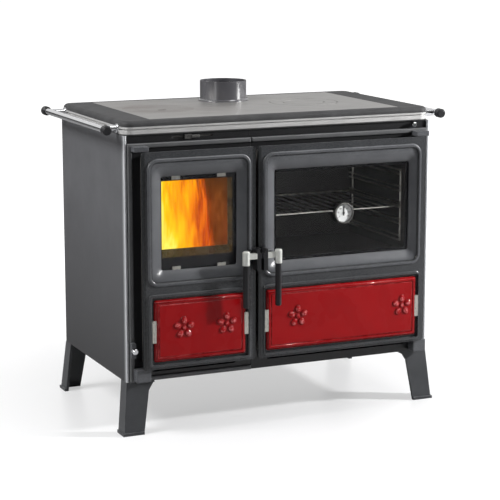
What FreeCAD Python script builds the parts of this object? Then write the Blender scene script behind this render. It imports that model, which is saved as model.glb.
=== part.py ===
import FreeCAD, Part
import math
import os

# Wood-burning cooking stove, in millimetres, +Z up, front towards -Y.
# The origin is on the floor, in the middle of the whole stove's footprint.

V = FreeCAD.Vector
X = V(1, 0, 0)
Y = V(0, 1, 0)
Z = V(0, 0, 1)

# Driving sizes of the body
body_width = 920.0
body_depth = 520.0
top_height = 850.0
leg_height = 145.0
hob_thickness = 38.0
sheet = 3.0
overrun = 5.0
seat_gap = 0.3
cap_reach = 4.0
flat_tolerance = 0.03
edge_round_share = 0.25
slot_end_share = 0.47

# Doors: two tall castings that stand in front of the frame
door_side_margin = 35.0
door_bottom_margin = 39.0
door_top_margin = 41.0
door_gap = 9.0
fire_door_width = 326.0
door_stand = 42.0
door_plate = 8.0
door_corner = 6.0
door_wall = 6.0
door_wall_inset = 12.0
gasket_width = 8.0
gasket_depth = 7.6
hinge_pin_inset = 13.0
hinge_pin_stand = 25.0
hinge_pin_radius = 4.0
running_clearance = 0.06

# Raised half-round beads on the doors
bead_width = 10.0
bead_height = 5.0
bead_margin = 13.5
bead_round_share = 0.42
bead_spacing = 20.0
window_bead_drop = 18.0
panel_bead_margin = 5.0
window_bead_corner = 30.0
panel_bead_corner = 12.0

# Windows and enamel panels
window_bottom_rise = 268.0
window_top_drop = 67.0
fire_window_margin = 54.0
oven_window_margin = 49.0
window_slope = 5.5
window_slope_margin = 3.0
window_corner = 5.0
glass_thickness = 4.0
glass_lap = 14.0
panel_bottom_rise = 20.0
panel_height = 169.0
fire_panel_margin = 29.5
oven_panel_margin = 24.0
panel_gap = 7.0
pocket_depth = 5.0
panel_rise = 7.5
panel_bevel = 4.0
panel_corner = 6.0
panel_border = 13.0
panel_field_rise = 1.5

# Latches, mirrored about the gap between the doors
latch_height = 478.0
latch_pivot_offset = 30.0
latch_grip_offset = 48.0
grip_stand = 35.0
grip_radius = 8.5
grip_length = 119.0
ferrule_radius = 10.0
ferrule_height = 38.0

# Hob and its fittings
hob_border_side = 84.0
hob_border_front = 28.0
hob_plate_thickness = 12.0
hob_corner = 28.0
ring_radius = 100.0
ring_margin = 14.0
ring_centre_share = 0.5
disc_radius = 65.0
lift_clearance = 0.5
flue_bore_radius = 65.2
flue_wall = 2.8
flue_height = 58.0
flue_back_distance = 112.0

# Towel rails at the two ends of the hob
rail_radius = 9.0
rail_stand = 42.0
rail_drop = 22.0
rail_front_setback = 3.0
rail_back_reach = 22.0
rail_cap_radius = 13.0
rail_cap_length = 24.0

# Legs: angle castings that flare outwards
leg_flare = 14.0
leg_top_width = 80.0
leg_top_depth = 44.0
leg_foot_width = 58.0
leg_foot_depth = 48.0
leg_wall = 8.0

# Front frame castings
frame_plate = 12.0
frame_side = 9.0
frame_bead = 6.0
fire_opening_far = 40.0
fire_opening_near = 41.0
fire_opening_height = 290.0
opening_lift = 23.0
fire_rail_height = 88.0
oven_rail_height = 83.0
oven_opening_near = 45.0
oven_opening_far = 35.0
oven_opening_height = 275.0
oven_rear_gap = 172.0

# Places that follow from the driving sizes
half_width = body_width / 2
front_reach = door_stand + grip_stand + ferrule_radius
back_reach = max(rail_back_reach, leg_flare + cap_reach)
front = (front_reach - back_reach - body_depth) / 2
back = front + body_depth
bottom = leg_height
hob_bottom = top_height - hob_thickness
door_bottom = bottom + door_bottom_margin
door_top = hob_bottom - door_top_margin
door_front = front - door_stand
door_back = door_front + door_plate
fire_door_x = (-half_width + door_side_margin, -half_width + door_side_margin + fire_door_width)
oven_door_x = (fire_door_x[1] + door_gap, half_width - door_side_margin)
gap_x = fire_door_x[1] + door_gap / 2
door_z = (door_bottom, door_top)
window_z = (door_bottom + window_bottom_rise, door_top - window_top_drop)
panel_z = (door_bottom + panel_bottom_rise, door_bottom + panel_bottom_rise + panel_height)
grip_y = door_front - grip_stand
hinge_y = front - hinge_pin_stand
fire_hinge_x = fire_door_x[0] + hinge_pin_inset
oven_hinge_x = oven_door_x[1] - hinge_pin_inset
frame_back = front + frame_plate
fire_opening_x = (fire_door_x[0] + fire_opening_far, fire_door_x[1] - fire_opening_near)
oven_opening_x = (oven_door_x[0] + oven_opening_near, oven_door_x[1] - oven_opening_far)
fire_opening_z = (door_top - door_top_margin - fire_opening_height, door_top - door_top_margin)
oven_opening_z = (fire_opening_z[0], fire_opening_z[0] + oven_opening_height)
ash_opening_z = (bottom + opening_lift, fire_opening_z[0] - fire_rail_height)
store_opening_z = (bottom + opening_lift, oven_opening_z[0] - oven_rail_height)
ring_x = -half_width + hob_border_side + ring_margin + ring_radius
ring_y = front + body_depth * ring_centre_share
flue_y = back - flue_back_distance
rail_z = top_height - rail_drop


# Shared shapes

def box(x, y, z):
    """A block between two places on each axis."""
    return Part.makeBox(x[1] - x[0], y[1] - y[0], z[1] - z[0], V(x[0], y[0], z[0]))


def rod(start, direction, radius, length):
    """A round bar from its start along a direction."""
    return Part.makeCylinder(radius, length, start, direction)


def tube(start, direction, outer, inner, length):
    """A round tube from its start along a direction."""
    return rod(start, direction, outer, length).cut(rod(start, direction, inner, length))


def grown(span, amount):
    """A span made longer by an amount at both of its ends."""
    return (span[0] - amount, span[1] + amount)


def middle(span):
    return (span[0] + span[1]) / 2


def round_outline(a, b, radius, place):
    """A closed rectangle with round corners; place turns two sizes into a point."""
    edges = []
    ends = []
    for a_end, b_end, start in ((1, 1, 0), (0, 1, 90), (0, 0, 180), (1, 0, 270)):
        centre_a = a[a_end] + (radius if a_end == 0 else -radius)
        centre_b = b[b_end] + (radius if b_end == 0 else -radius)
        points = []
        for step in (0, 45, 90):
            angle = math.radians(start + step)
            points.append(place(centre_a + radius * math.cos(angle), centre_b + radius * math.sin(angle)))
        edges.append(Part.Arc(*points).toShape())
        ends.append(points)
    for index in range(4):
        edges.append(Part.LineSegment(ends[index][2], ends[(index + 1) % 4][0]).toShape())
    return Part.Wire(Part.__sortEdges__(edges))


def upright_slab(x, z, radius, y):
    """A plate that faces the front, with round corners."""
    wire = round_outline(x, z, radius, lambda a, b: V(a, y[0], b))
    return Part.Face(wire).extrude(V(0, y[1] - y[0], 0))


def level_slab(x, y, radius, z):
    """A plate that lies level, with round corners."""
    wire = round_outline(x, y, radius, lambda a, b: V(a, b, z[0]))
    return Part.Face(wire).extrude(V(0, 0, z[1] - z[0]))


def prism(points, direction):
    """A straight-sided outline pushed along a direction."""
    return Part.Face(Part.makePolygon(points + points[:1])).extrude(direction)


def edges_at(shape, axis, place):
    """The edges that lie wholly in one plane across an axis."""
    found = []
    for edge in shape.Edges:
        low = getattr(edge.BoundBox, axis + "Min")
        high = getattr(edge.BoundBox, axis + "Max")
        if abs(low - place) < flat_tolerance and abs(high - place) < flat_tolerance:
            found.append(edge)
    return found


def fused(shapes):
    """Several shapes joined into one solid without inner seams."""
    return shapes[0].multiFuse(shapes[1:]).removeSplitter()


def flipped(shape, x_place=0):
    """The mirror image of a shape, left to right, about a plane across X."""
    return shape.mirror(V(x_place, 0, 0), X)


# Body casing

fold_radius = 4.2


def side_panel_left():
    """Folded sheet: the outer skin with a round lip at the front and a return at the back."""
    z = (bottom, hob_bottom)
    outer = level_slab((-half_width, -half_width + frame_side), (front, back), fold_radius, z)
    inside_x = (-half_width + sheet, -half_width + frame_side + overrun)
    return outer.cut(box(inside_x, (front + sheet, back - sheet), grown(z, overrun)))


def side_panel_right():
    return flipped(side_panel_left())


rib_width = 14.0
rib_depth = 3.0
rib_end_distance = 56.0
rib_places_shares = (0.3, 0.7)


def back_panel():
    """Rear sheet between the side panels, with two pressed stiffening ribs."""
    inner = half_width - frame_side - seat_gap
    x = (-inner, inner)
    panel = box(x, (back - sheet, back), (bottom, hob_bottom))
    ribs = []
    for share in rib_places_shares:
        centre = bottom + (hob_bottom - bottom) * share
        rib_z = (centre - rib_width / 2, centre + rib_width / 2)
        rib_y = (back - sheet - rib_depth, back - sheet)
        ribs.append(upright_slab(grown(x, -rib_end_distance), rib_z, rib_width * slot_end_share, rib_y))
    return fused([panel] + ribs)


base_plate_thickness = 6.0


def base_plate():
    """Floor of the casing, which the legs bolt to."""
    inner = half_width - sheet - seat_gap
    y = (frame_back, back - sheet)
    return box((-inner, inner), y, (bottom, bottom + base_plate_thickness))


# Front frame

frame_seam = 1.0
frame_bead_width = 13.0
top_band_height = 21.0
top_band_step = 7.0
slot_height = 5.0
slot_drop = 10.0
slot_z = hob_bottom - slot_drop
frame_round_share = 0.6


def frame_bar(x, z):
    """One raised bar of the frame's border, with its front edges rounded."""
    bar = box(x, (front - frame_bead, front + sheet), z)
    return bar.makeFillet(frame_bead * frame_round_share, edges_at(bar, "Y", front - frame_bead))


def front_frame(x, outer_end, openings):
    """A cast plate with its openings, a raised border and a stepped-back band at the top."""
    plate = box(x, (front, frame_back), (bottom, hob_bottom))
    for opening_x, opening_z in openings:
        hole = upright_slab(opening_x, opening_z, door_corner, (front - overrun, frame_back + overrun))
        plate = plate.cut(hole)
    top_bar_top = hob_bottom - top_band_height
    band_y = (front - overrun, front + top_band_step)
    plate = plate.cut(box(grown(x, overrun), band_y, (top_bar_top, hob_bottom + overrun)))
    bars = [frame_bar(x, (top_bar_top - frame_bead_width, top_bar_top))]
    bars.append(frame_bar(x, (bottom, bottom + frame_bead_width)))
    if outer_end == 0:
        upright = (x[0], x[0] + frame_bead_width)
    else:
        upright = (x[1] - frame_bead_width, x[1])
    bars.append(frame_bar(upright, (bottom, top_bar_top)))
    return fused([plate] + bars)


air_slider_distance = 163.0
air_slot_half = 60.0
bypass_inset = 18.0
bypass_rod_radius = 4.0
knob_stem_radius = 4.0
air_bracket_width = 12.0
primary_rise = 52.0
air_slider_x = fire_door_x[0] + air_slider_distance
bypass_x = oven_door_x[1] - bypass_inset
primary_x = -half_width + frame_side + seat_gap + air_bracket_width / 2
primary_z = door_bottom + primary_rise


def front_frame_left():
    x = (-half_width + frame_side + seat_gap, gap_x - frame_seam / 2)
    shape = front_frame(x, 0, ((fire_opening_x, fire_opening_z), (fire_opening_x, ash_opening_z)))
    through = (front - overrun, frame_back + overrun)
    slot_x = (air_slider_x - air_slot_half, air_slider_x + air_slot_half)
    slot_span = (slot_z - slot_height / 2, slot_z + slot_height / 2)
    slot = upright_slab(slot_x, slot_span, slot_height * slot_end_share, through)
    stem_hole = rod(V(primary_x, front - frame_bead - overrun, primary_z), Y, knob_stem_radius + seat_gap,
                    frame_plate + frame_bead + 2 * overrun)
    return shape.cut(slot).cut(stem_hole)


def front_frame_right():
    x = (gap_x + frame_seam / 2, half_width - frame_side - seat_gap)
    shape = front_frame(x, 1, ((oven_opening_x, oven_opening_z), (oven_opening_x, store_opening_z)))
    start = V(bypass_x, front - overrun, slot_z)
    return shape.cut(rod(start, Y, bypass_rod_radius + seat_gap, frame_plate + 2 * overrun))


# Legs

leg_lip_height = 8.0
leg_lip = 3.0
leg_knee_drop = 26.0
leg_knee_width = 63.0
leg_plate = 6.0


def leg_block(width_growth, start):
    """Solid block of one leg: its front outline pushed back, cut by its side outline."""
    top = leg_height
    knee = leg_height - leg_knee_drop
    foot_inner = -leg_flare + leg_foot_width + width_growth
    knee_inner = leg_knee_width + width_growth
    front_outline = [V(-leg_flare + start, 0, 0), V(foot_inner, 0, 0), V(knee_inner, 0, knee),
                     V(leg_top_width + width_growth, 0, top), V(start, 0, top)]
    face_front = prism([p - Y * body_depth for p in front_outline], Y * (2 * body_depth))
    side_outline = [V(0, -leg_flare + start, 0), V(0, -leg_flare + leg_foot_depth + width_growth, 0),
                    V(0, leg_top_depth + width_growth, top), V(0, start, top)]
    face_side = prism([p - X * body_width for p in side_outline], X * (2 * body_width))
    return face_front.common(face_side)


def front_left_leg():
    """An angle-shaped casting, open at its inner corner, with a foot lip and a top plate."""
    solid = leg_block(0, 0)
    hollow = leg_block(leg_top_width, leg_wall)
    shell = solid.cut(hollow)
    lip_x = (-leg_flare - leg_lip, -leg_flare + leg_foot_width)
    lip_y = (-leg_flare - leg_lip, -leg_flare + leg_foot_depth)
    lip_z = (0, leg_lip_height)
    corner = -leg_flare + leg_wall
    notch = box((corner, lip_x[1] + overrun), (corner, lip_y[1] + overrun), grown(lip_z, overrun))
    lip = box(lip_x, lip_y, lip_z).cut(notch)
    cap = box((0, leg_top_width), (0, leg_top_depth), (leg_height - leg_plate, leg_height))
    return fused([shell, lip, cap]).translated(V(-half_width, front, 0))


def leg_front_left():
    return front_left_leg()


def leg_front_right():
    return flipped(front_left_leg())


def leg_back_left():
    return front_left_leg().mirror(V(0, front + body_depth / 2, 0), Y)


def leg_back_right():
    return flipped(leg_back_left())


leg_bolt_head_radius = 8.0
leg_bolt_head = 6.0


def leg_bolts():
    """Eight hexagon bolts that hold the legs' top plates up against the base plate."""
    bolts = []
    places_shares = ((0.38, 0.62), (0.76, 0.62))
    for side in (-1, 1):
        for y_edge, inward in ((front, 1), (back, -1)):
            for across_share, along_share in places_shares:
                x = side * (half_width - leg_top_width * across_share)
                y = y_edge + inward * leg_top_depth * along_share
                centre = V(x, y, leg_height - leg_plate - leg_bolt_head)
                corners = []
                for turn in range(6):
                    angle = math.radians(60 * turn)
                    spoke = X * math.cos(angle) + Y * math.sin(angle)
                    corners.append(centre + spoke * leg_bolt_head_radius)
                bolts.append(prism(corners, Z * leg_bolt_head))
    return Part.makeCompound(bolts)


# Hob

nose_radius = 11.0
nose_band = 21.0
groove_height = 4.0
groove_depth = 4.0
ledge_width = 9.0
plate_clearance = 1.0


def hob_opening():
    x = half_width - hob_border_side
    return (-x, x), (front + hob_border_front, back - hob_border_front)


def hob_frame():
    """The cast rim of the hob: a round nose over a groove, and a ledge inside for the plate."""
    outer_x = (-half_width, half_width)
    outer_y = (front, back)
    nose_bottom = top_height - nose_band
    groove_bottom = nose_bottom - groove_height
    nose = level_slab(outer_x, outer_y, hob_corner, (nose_bottom, top_height))
    nose = nose.makeFillet(nose_radius, edges_at(nose, "Z", top_height))
    neck = level_slab(grown(outer_x, -groove_depth), grown(outer_y, -groove_depth), hob_corner - groove_depth,
                      (groove_bottom, nose_bottom))
    skirt = level_slab(outer_x, outer_y, hob_corner, (hob_bottom, groove_bottom))
    x, y = hob_opening()
    seat = box(x, y, (top_height - hob_plate_thickness, top_height + overrun))
    well = box(grown(x, -ledge_width), grown(y, -ledge_width), (hob_bottom - overrun, top_height))
    return fused([nose, neck, skirt]).cut(seat).cut(well)


ring_seat_depth = 6.0
ring_ledge = 8.0
ring_thickness = ring_seat_depth - seat_gap
disc_seat_depth = 3.0
disc_ledge = 7.0
mark_width = 3.0
mark_depth = 1.5
mark_radii_shares = (1.0, 0.62)
mark_from_side = 270.0


def hob_plate():
    """The polished cooking plate, with the ring's seat, the flue hole and two turned marks."""
    x, y = hob_opening()
    z = (top_height - hob_plate_thickness, top_height)
    plate = box(grown(x, -plate_clearance), grown(y, -plate_clearance), z)
    centre = V(ring_x, ring_y, 0)
    seat_base = centre + Z * (top_height - ring_seat_depth)
    seat = rod(seat_base, Z, ring_radius + lift_clearance, ring_seat_depth + overrun)
    hole = rod(centre + Z * (z[0] - overrun), Z, ring_radius - ring_ledge, hob_thickness)
    flue = rod(V(flue_x, flue_y, z[0] - overrun), Z, flue_bore_radius + flue_wall / 2, hob_thickness)
    plate = plate.cut(seat).cut(hole).cut(flue)
    mark_base = V(half_width - mark_from_side, ring_y, top_height - mark_depth)
    for share in mark_radii_shares:
        outer = ring_radius * share
        plate = plate.cut(tube(mark_base, Z, outer, outer - mark_width, overrun))
    return plate


def hob_ring():
    """The lift-out ring, seated in the plate and holding the disc."""
    base = V(ring_x, ring_y, top_height - ring_thickness)
    ring = tube(base, Z, ring_radius, disc_radius - disc_ledge, ring_thickness)
    seat = rod(V(ring_x, ring_y, top_height - disc_seat_depth), Z, disc_radius + lift_clearance, overrun)
    return ring.cut(seat)


lifter_radius = 7.0
lifter_slot = 26.0
lifter_depth = 3.5
lifter_distance = 40.0
lifter_end_share = 0.95


def hob_disc():
    """The centre disc with a boss below and a slot for the lifting tool."""
    disc_thickness = disc_seat_depth - seat_gap
    top = rod(V(ring_x, ring_y, top_height - disc_thickness), Z, disc_radius, disc_thickness)
    boss_radius = disc_radius - disc_ledge - lift_clearance
    boss_height = hob_plate_thickness - disc_thickness
    boss = rod(V(ring_x, ring_y, top_height - hob_plate_thickness), Z, boss_radius, boss_height)
    x = (ring_x - lifter_slot / 2, ring_x + lifter_slot / 2)
    y = (ring_y - lifter_distance, ring_y - lifter_distance + 2 * lifter_radius)
    z = (top_height - lifter_depth, top_height + overrun)
    return fused([top, boss]).cut(level_slab(x, y, lifter_radius * lifter_end_share, z))


flange_width = 6.5
flange_height = 6.0


def flue_collar():
    """The cast spigot that the flue pipe fits into, with its flange on the plate."""
    base = V(flue_x, flue_y, top_height)
    outer = flue_bore_radius + flue_wall
    wall = rod(base, Z, outer, flue_height)
    flange = rod(base, Z, outer + flange_width, flange_height)
    flange = flange.makeChamfer(flange_height / 2, edges_at(flange, "Z", top_height + flange_height))
    bore = rod(base - Z * overrun, Z, flue_bore_radius, flue_height + 2 * overrun)
    return fused([wall, flange]).cut(bore)


# Rails

rail_bracket_radius = 9.5
rail_bracket_inset = 16.0
rail_cup_radius = 12.5
rail_cup_length = 5.0
rail_y = (front + rail_front_setback, back + rail_back_reach)
rail_x = half_width + rail_stand


def rail_right():
    """The bright tube that runs along the hob's end."""
    start = V(rail_x, rail_y[0] + rail_cap_length, rail_z)
    return rod(start, Y, rail_radius, rail_y[1] - rail_y[0] - 2 * rail_cap_length)


def rail_left():
    return flipped(rail_right())


def rail_caps():
    """Dark end knobs, one on each end of both rails."""
    caps = []
    for start in (rail_y[0], rail_y[1] - rail_cap_length):
        cap = rod(V(rail_x, start, rail_z), Y, rail_cap_radius, rail_cap_length)
        rims = edges_at(cap, "Y", start) + edges_at(cap, "Y", start + rail_cap_length)
        cap = cap.makeChamfer(rail_cap_radius * edge_round_share, rims)
        caps += [cap, flipped(cap)]
    return Part.makeCompound(caps)


def rail_brackets():
    """Bright stubs with a round foot, two from each end of the hob to its rail."""
    stubs = []
    for y in (rail_y[0] + rail_cap_length + rail_bracket_inset, back - rail_bracket_inset - rail_cap_length):
        foot = rod(V(half_width, y, rail_z), X, rail_cup_radius, rail_cup_length)
        arm = rod(V(half_width, y, rail_z), X, rail_bracket_radius, rail_stand)
        saddle = rod(V(rail_x, y - 2 * rail_cup_radius, rail_z), Y, rail_radius, 4 * rail_cup_radius)
        stub = fused([foot, arm]).cut(saddle)
        stubs += [stub, flipped(stub)]
    return Part.makeCompound(stubs)


# Firebox and ash

shell_wall = 4.0
shell_outset = 35.0
firebox_rear_gap = 50.0
shell_top_drop = 12.0
shell_floor_drop = 45.0
brick = 25.0
brick_height = 290.0
grate_length = 260.0
grate_width = 196.0
grate_thickness = 14.0
grate_lap = 10.0
grate_bars = 8
grate_bar_share = 0.55
shell_x = grown(fire_opening_x, shell_outset)
shell_y = (frame_back, back - sheet - firebox_rear_gap)
shell_z = (fire_opening_z[0] - shell_floor_drop, hob_bottom - shell_top_drop)
grate_x = (middle(fire_opening_x) - grate_width / 2, middle(fire_opening_x) + grate_width / 2)
grate_y = (middle(shell_y) - grate_length / 2, middle(shell_y) + grate_length / 2)
grate_z = (shell_z[0] + shell_wall, shell_z[0] + shell_wall + grate_thickness)


def firebox_shell():
    """Steel chamber around the fire: open to the door and at its top, with an ash hole below."""
    outer = box(shell_x, shell_y, shell_z)
    inner = box(grown(shell_x, -shell_wall), (shell_y[0] - overrun, shell_y[1] - shell_wall),
                (shell_z[0] + shell_wall, shell_z[1] + overrun))
    hole = box(grown(grate_x, -grate_lap), grown(grate_y, -grate_lap), grown(shell_z, overrun))
    return outer.cut(inner).cut(hole)


def firebrick_lining():
    """Refractory slabs at the left, the right and the back of the fire."""
    inside_x = grown(shell_x, -shell_wall)
    z = (shell_z[0] + shell_wall, shell_z[0] + shell_wall + brick_height)
    rear = shell_y[1] - shell_wall
    left = box((inside_x[0], inside_x[0] + brick), (shell_y[0], rear), z)
    right = box((inside_x[1] - brick, inside_x[1]), (shell_y[0], rear), z)
    rear_slab = box(grown(inside_x, -brick), (rear - brick, rear), z)
    return Part.makeCompound([left, right, rear_slab])


def fire_grate():
    """Cast grate with tapered bars' gaps for the ash to fall through."""
    grate = box(grate_x, grate_y, grate_z)
    pitch = (grate_length - 2 * grate_lap) / grate_bars
    gap = pitch * grate_bar_share
    for index in range(grate_bars):
        centre = grate_y[0] + grate_lap + pitch * (index + 0.5)
        slot_y = (centre - gap / 2, centre + gap / 2)
        slot_x = grown(grate_x, -2 * grate_lap)
        grate = grate.cut(level_slab(slot_x, slot_y, gap * slot_end_share, grown(grate_z, overrun)))
    return grate


runner_height = 23.0
runner_width = 22.0
runner_wall = 3.0
drawer_clearance = 2.5
drawer_wall = 2.0
drawer_rear_gap = 130.0
runner_overhang = 12.0
drawer_grip = 14.0
drawer_grip_width = 90.0
drawer_rim_drop = 8.0
drawer_setback = 8.0


def ash_runners():
    """Two angle rails on the base plate that carry the ash drawer."""
    runners = []
    base = bottom + base_plate_thickness
    y = (frame_back, back - drawer_rear_gap + runner_overhang)
    for edge, inward in ((fire_opening_x[0], 1), (fire_opening_x[1], -1)):
        x = sorted((edge, edge + inward * runner_width))
        upright = sorted((edge, edge + inward * runner_wall))
        foot = box(x, y, (base, base + runner_wall))
        web = box(upright, y, (base, base + runner_height - runner_wall))
        shelf = box(x, y, (base + runner_height - 2 * runner_wall, base + runner_height - runner_wall))
        runners.append(fused([foot, web, shelf]))
    return Part.makeCompound(runners)


def ash_drawer():
    """Folded sheet drawer under the grate, with a bent strip as its handle."""
    x = grown(fire_opening_x, -drawer_clearance)
    y = (front + drawer_setback, back - drawer_rear_gap)
    floor = bottom + base_plate_thickness + runner_height - runner_wall
    z = (floor, ash_opening_z[1] - drawer_rim_drop)
    inside = box(grown(x, -drawer_wall), grown(y, -drawer_wall), (z[0] + drawer_wall, z[1] + overrun))
    pan = box(x, y, z).cut(inside)
    handle_x = (middle(x) - drawer_grip_width / 2, middle(x) + drawer_grip_width / 2)
    handle_z = (middle(z) - drawer_grip / 2, middle(z) + drawer_grip / 2)
    strip = box(handle_x, (y[0] - drawer_grip, y[0]), handle_z)
    finger_y = (y[0] - drawer_grip + drawer_wall, y[0])
    finger = box(grown(handle_x, -drawer_wall), finger_y, grown(handle_z, overrun))
    return fused([pan, strip.cut(finger)])


# Oven and store

oven_wall = 3.0
oven_flange = 14.0
wire_radius = 2.5
rack_wire_radius = 1.8
rack_wires = 13
runner_levels = 5
runner_top_share = 0.86
rack_level = 2
runner_inset = 10.0
runner_pair_rise = 12.5
lowest_runner_share = 0.6
post_wire_radius = 2.7
weld_bite = 0.4
side_wire_radius = 2.25


def open_box(x, y, z, wall):
    """A sheet box that is open to the front, with a flange against the frame."""
    outer = box(grown(x, wall), (y[0], y[1] + wall), grown(z, wall))
    flange = box(grown(x, oven_flange), (y[0], y[0] + wall), grown(z, oven_flange))
    return fused([outer, flange]).cut(box(x, (y[0] - overrun, y[1]), z))


oven_y = (frame_back, back - sheet - oven_rear_gap)


def oven_box():
    return open_box(oven_opening_x, oven_y, oven_opening_z, oven_wall)


def storage_box():
    return open_box(oven_opening_x, oven_y, store_opening_z, oven_wall)


def runner_z(level):
    """Height of one pair of runner wires, counted from the lowest."""
    pitch = oven_opening_height * runner_top_share / runner_levels
    return oven_opening_z[0] + pitch * (level + lowest_runner_share)


def oven_runners():
    """Bright wire ladders on the oven's two side walls that carry the rack."""
    ladders = []
    y = (oven_y[0] + runner_inset, oven_y[1] - runner_inset)
    post_start = runner_z(0) - wire_radius
    post_length = runner_z(runner_levels - 1) + wire_radius + runner_pair_rise - post_start
    for wall_x, inward in ((oven_opening_x[0], 1), (oven_opening_x[1], -1)):
        post_place = wall_x + inward * (seat_gap + post_wire_radius)
        rail_place = wall_x + inward * (seat_gap + 2 * post_wire_radius + wire_radius - weld_bite)
        wires = []
        for level in range(runner_levels):
            for rise in (0, runner_pair_rise):
                wires.append(rod(V(rail_place, y[0], runner_z(level) + rise), Y, wire_radius, y[1] - y[0]))
        for place in (y[0] + runner_inset, y[1] - runner_inset):
            wires.append(rod(V(post_place, place, post_start), Z, post_wire_radius, post_length))
        ladders.append(fused(wires))
    return Part.makeCompound(ladders)


def oven_rack():
    """Wire shelf: a stout frame with cross wires, slid onto one pair of runners."""
    margin = 2 * seat_gap + 2 * post_wire_radius + 2 * wire_radius
    x = grown(oven_opening_x, -margin)
    y = (oven_y[0] + runner_inset, oven_y[1] - runner_inset)
    z = runner_z(rack_level) + 2 * wire_radius + seat_gap
    wires = []
    for place in y:
        start = V(x[0] - 2 * wire_radius, place, z)
        wires.append(rod(start, X, wire_radius, x[1] - x[0] + 4 * wire_radius))
    for place in (x[0] - side_wire_radius, x[1] + side_wire_radius):
        wires.append(rod(V(place, y[0], z), Y, side_wire_radius, y[1] - y[0]))
    for index in range(rack_wires):
        place = x[0] + (x[1] - x[0]) * (index + 0.5) / rack_wires
        wires.append(rod(V(place, y[0], z), Y, rack_wire_radius, y[1] - y[0]))
    return fused(wires)


# Smoke path

divider_wall = 6.0
seat_plate = 4.0
seat_half_width = 100.0
seat_front = 75.0
seat_shell_gap = 5.0
damper_hole_radius = 52.0
damper_lap = 8.0
damper_drop = 15.0
damper_plate = 4.0
damper_seat_z = slot_z - damper_drop
flue_x = shell_x[1] + seat_shell_gap + seat_half_width


def flue_divider():
    """Upright plate behind the oven that parts the falling smoke from the rising smoke."""
    y = (oven_y[1] + oven_wall, back - sheet - rib_depth)
    z = (bottom + base_plate_thickness, damper_seat_z)
    right = flue_x + seat_half_width
    return box((right - divider_wall, right), y, z)


def damper_seat():
    """Shelf below the flue with the hole that the sliding plate opens and shuts."""
    x = (flue_x - seat_half_width, flue_x + seat_half_width)
    y = (flue_y - seat_front, back - sheet)
    shelf = box(x, y, (damper_seat_z, damper_seat_z + seat_plate))
    hole = rod(V(flue_x, flue_y, damper_seat_z - overrun), Z, damper_hole_radius, seat_plate + 2 * overrun)
    return shelf.cut(hole)


pull_knob_radius = 7.0
pull_knob_length = 12.0
bypass_post_radius = 4.8


def bypass_damper():
    """Sliding plate on a cranked rod; its knob is pulled at the front."""
    plate_radius = damper_hole_radius + damper_lap
    plate_z = damper_seat_z + seat_plate + seat_gap
    plate = rod(V(flue_x, flue_y, plate_z), Z, plate_radius, damper_plate)
    post = rod(V(flue_x, flue_y, plate_z), Z, bypass_post_radius, slot_z + bypass_post_radius - plate_z)
    cross = rod(V(flue_x, flue_y, slot_z), X, bypass_rod_radius, bypass_x - flue_x)
    pull_start = front - overrun
    pull = rod(V(bypass_x, pull_start, slot_z), Y, bypass_rod_radius, flue_y - pull_start)
    knob = rod(V(bypass_x, front - pull_knob_length, slot_z), Y, pull_knob_radius, pull_knob_length)
    knob = knob.makeChamfer(pull_knob_radius * edge_round_share, edges_at(knob, "Y", front - pull_knob_length))
    elbow = Part.makeSphere(bypass_post_radius, V(bypass_x, flue_y, slot_z))
    return fused([plate, post, cross, pull, knob, elbow])


# Air controls

slider_bar = 3.0
slider_half = 70.0
lug_size = 22.0
lug_height = 8.0
lug_stand = 9.0
stop_width = 20.0
stop_height = 12.0
neck_half = 4.0


def secondary_air_slider():
    """A strip behind the frame's slot with a finger lug and a stop block in front."""
    strip_y = (frame_back + seat_gap, frame_back + seat_gap + slider_bar)
    lug_z = (slot_z - lug_height / 2, slot_z + lug_height / 2)
    strip = box((air_slider_x - slider_half, air_slider_x + slider_half), strip_y, lug_z)
    band_front = front + top_band_step
    neck_x = (air_slider_x - neck_half, air_slider_x + neck_half)
    neck_z = (slot_z - slot_height / 2 + seat_gap, slot_z + slot_height / 2 - seat_gap)
    neck = box(neck_x, (band_front - lug_stand, strip_y[1]), neck_z)
    lug_y = (band_front - lug_stand, band_front - seat_gap)
    lug = box((neck_x[0], neck_x[0] + lug_size), lug_y, lug_z)
    lug = lug.makeFillet(lug_height * edge_round_share, edges_at(lug, "Y", lug_y[0]))
    stop_z = (slot_z - stop_height / 2, slot_z + stop_height / 2)
    stop = box((neck_x[0] - stop_width, neck_x[0]), (lug_y[0] + sheet, lug_y[1]), stop_z)
    return fused([strip, neck, lug, stop])


air_knob_radius = 8.0
air_knob_length = 14.0
air_bracket_height = 42.0
air_bracket_depth = 14.0
air_tail = 17.0
flap_inner = 4.0
flap_outer = 12.0


def primary_air_bracket():
    """Dark cast boss on the frame that guides the knob's stem."""
    x = (primary_x - air_bracket_width / 2, primary_x + air_bracket_width / 2)
    z = (primary_z - air_bracket_height / 2, primary_z + air_bracket_height / 2)
    boss = upright_slab(x, z, sheet, (front - frame_bead - air_bracket_depth, front - frame_bead))
    start = V(primary_x, front - frame_bead - air_bracket_depth - overrun, primary_z)
    return boss.cut(rod(start, Y, knob_stem_radius + running_clearance, air_bracket_depth + 2 * overrun))


def primary_air_knob():
    """Bright knob on a stem that pulls the ash-side air flap open."""
    knob_y = front - frame_bead - air_bracket_depth - seat_gap - air_knob_length
    knob = rod(V(primary_x, knob_y, primary_z), Y, air_knob_radius, air_knob_length)
    knob = knob.makeChamfer(air_knob_radius * edge_round_share, edges_at(knob, "Y", knob_y))
    flap_y = (frame_back + air_tail, frame_back + air_tail + sheet)
    stem = rod(V(primary_x, knob_y, primary_z), Y, knob_stem_radius, flap_y[0] - knob_y)
    flap_z = (primary_z - air_knob_radius, primary_z + air_knob_radius)
    return fused([knob, stem, box((primary_x - flap_inner, primary_x + flap_outer), flap_y, flap_z)])


# Hinge brackets and keeper

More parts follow.
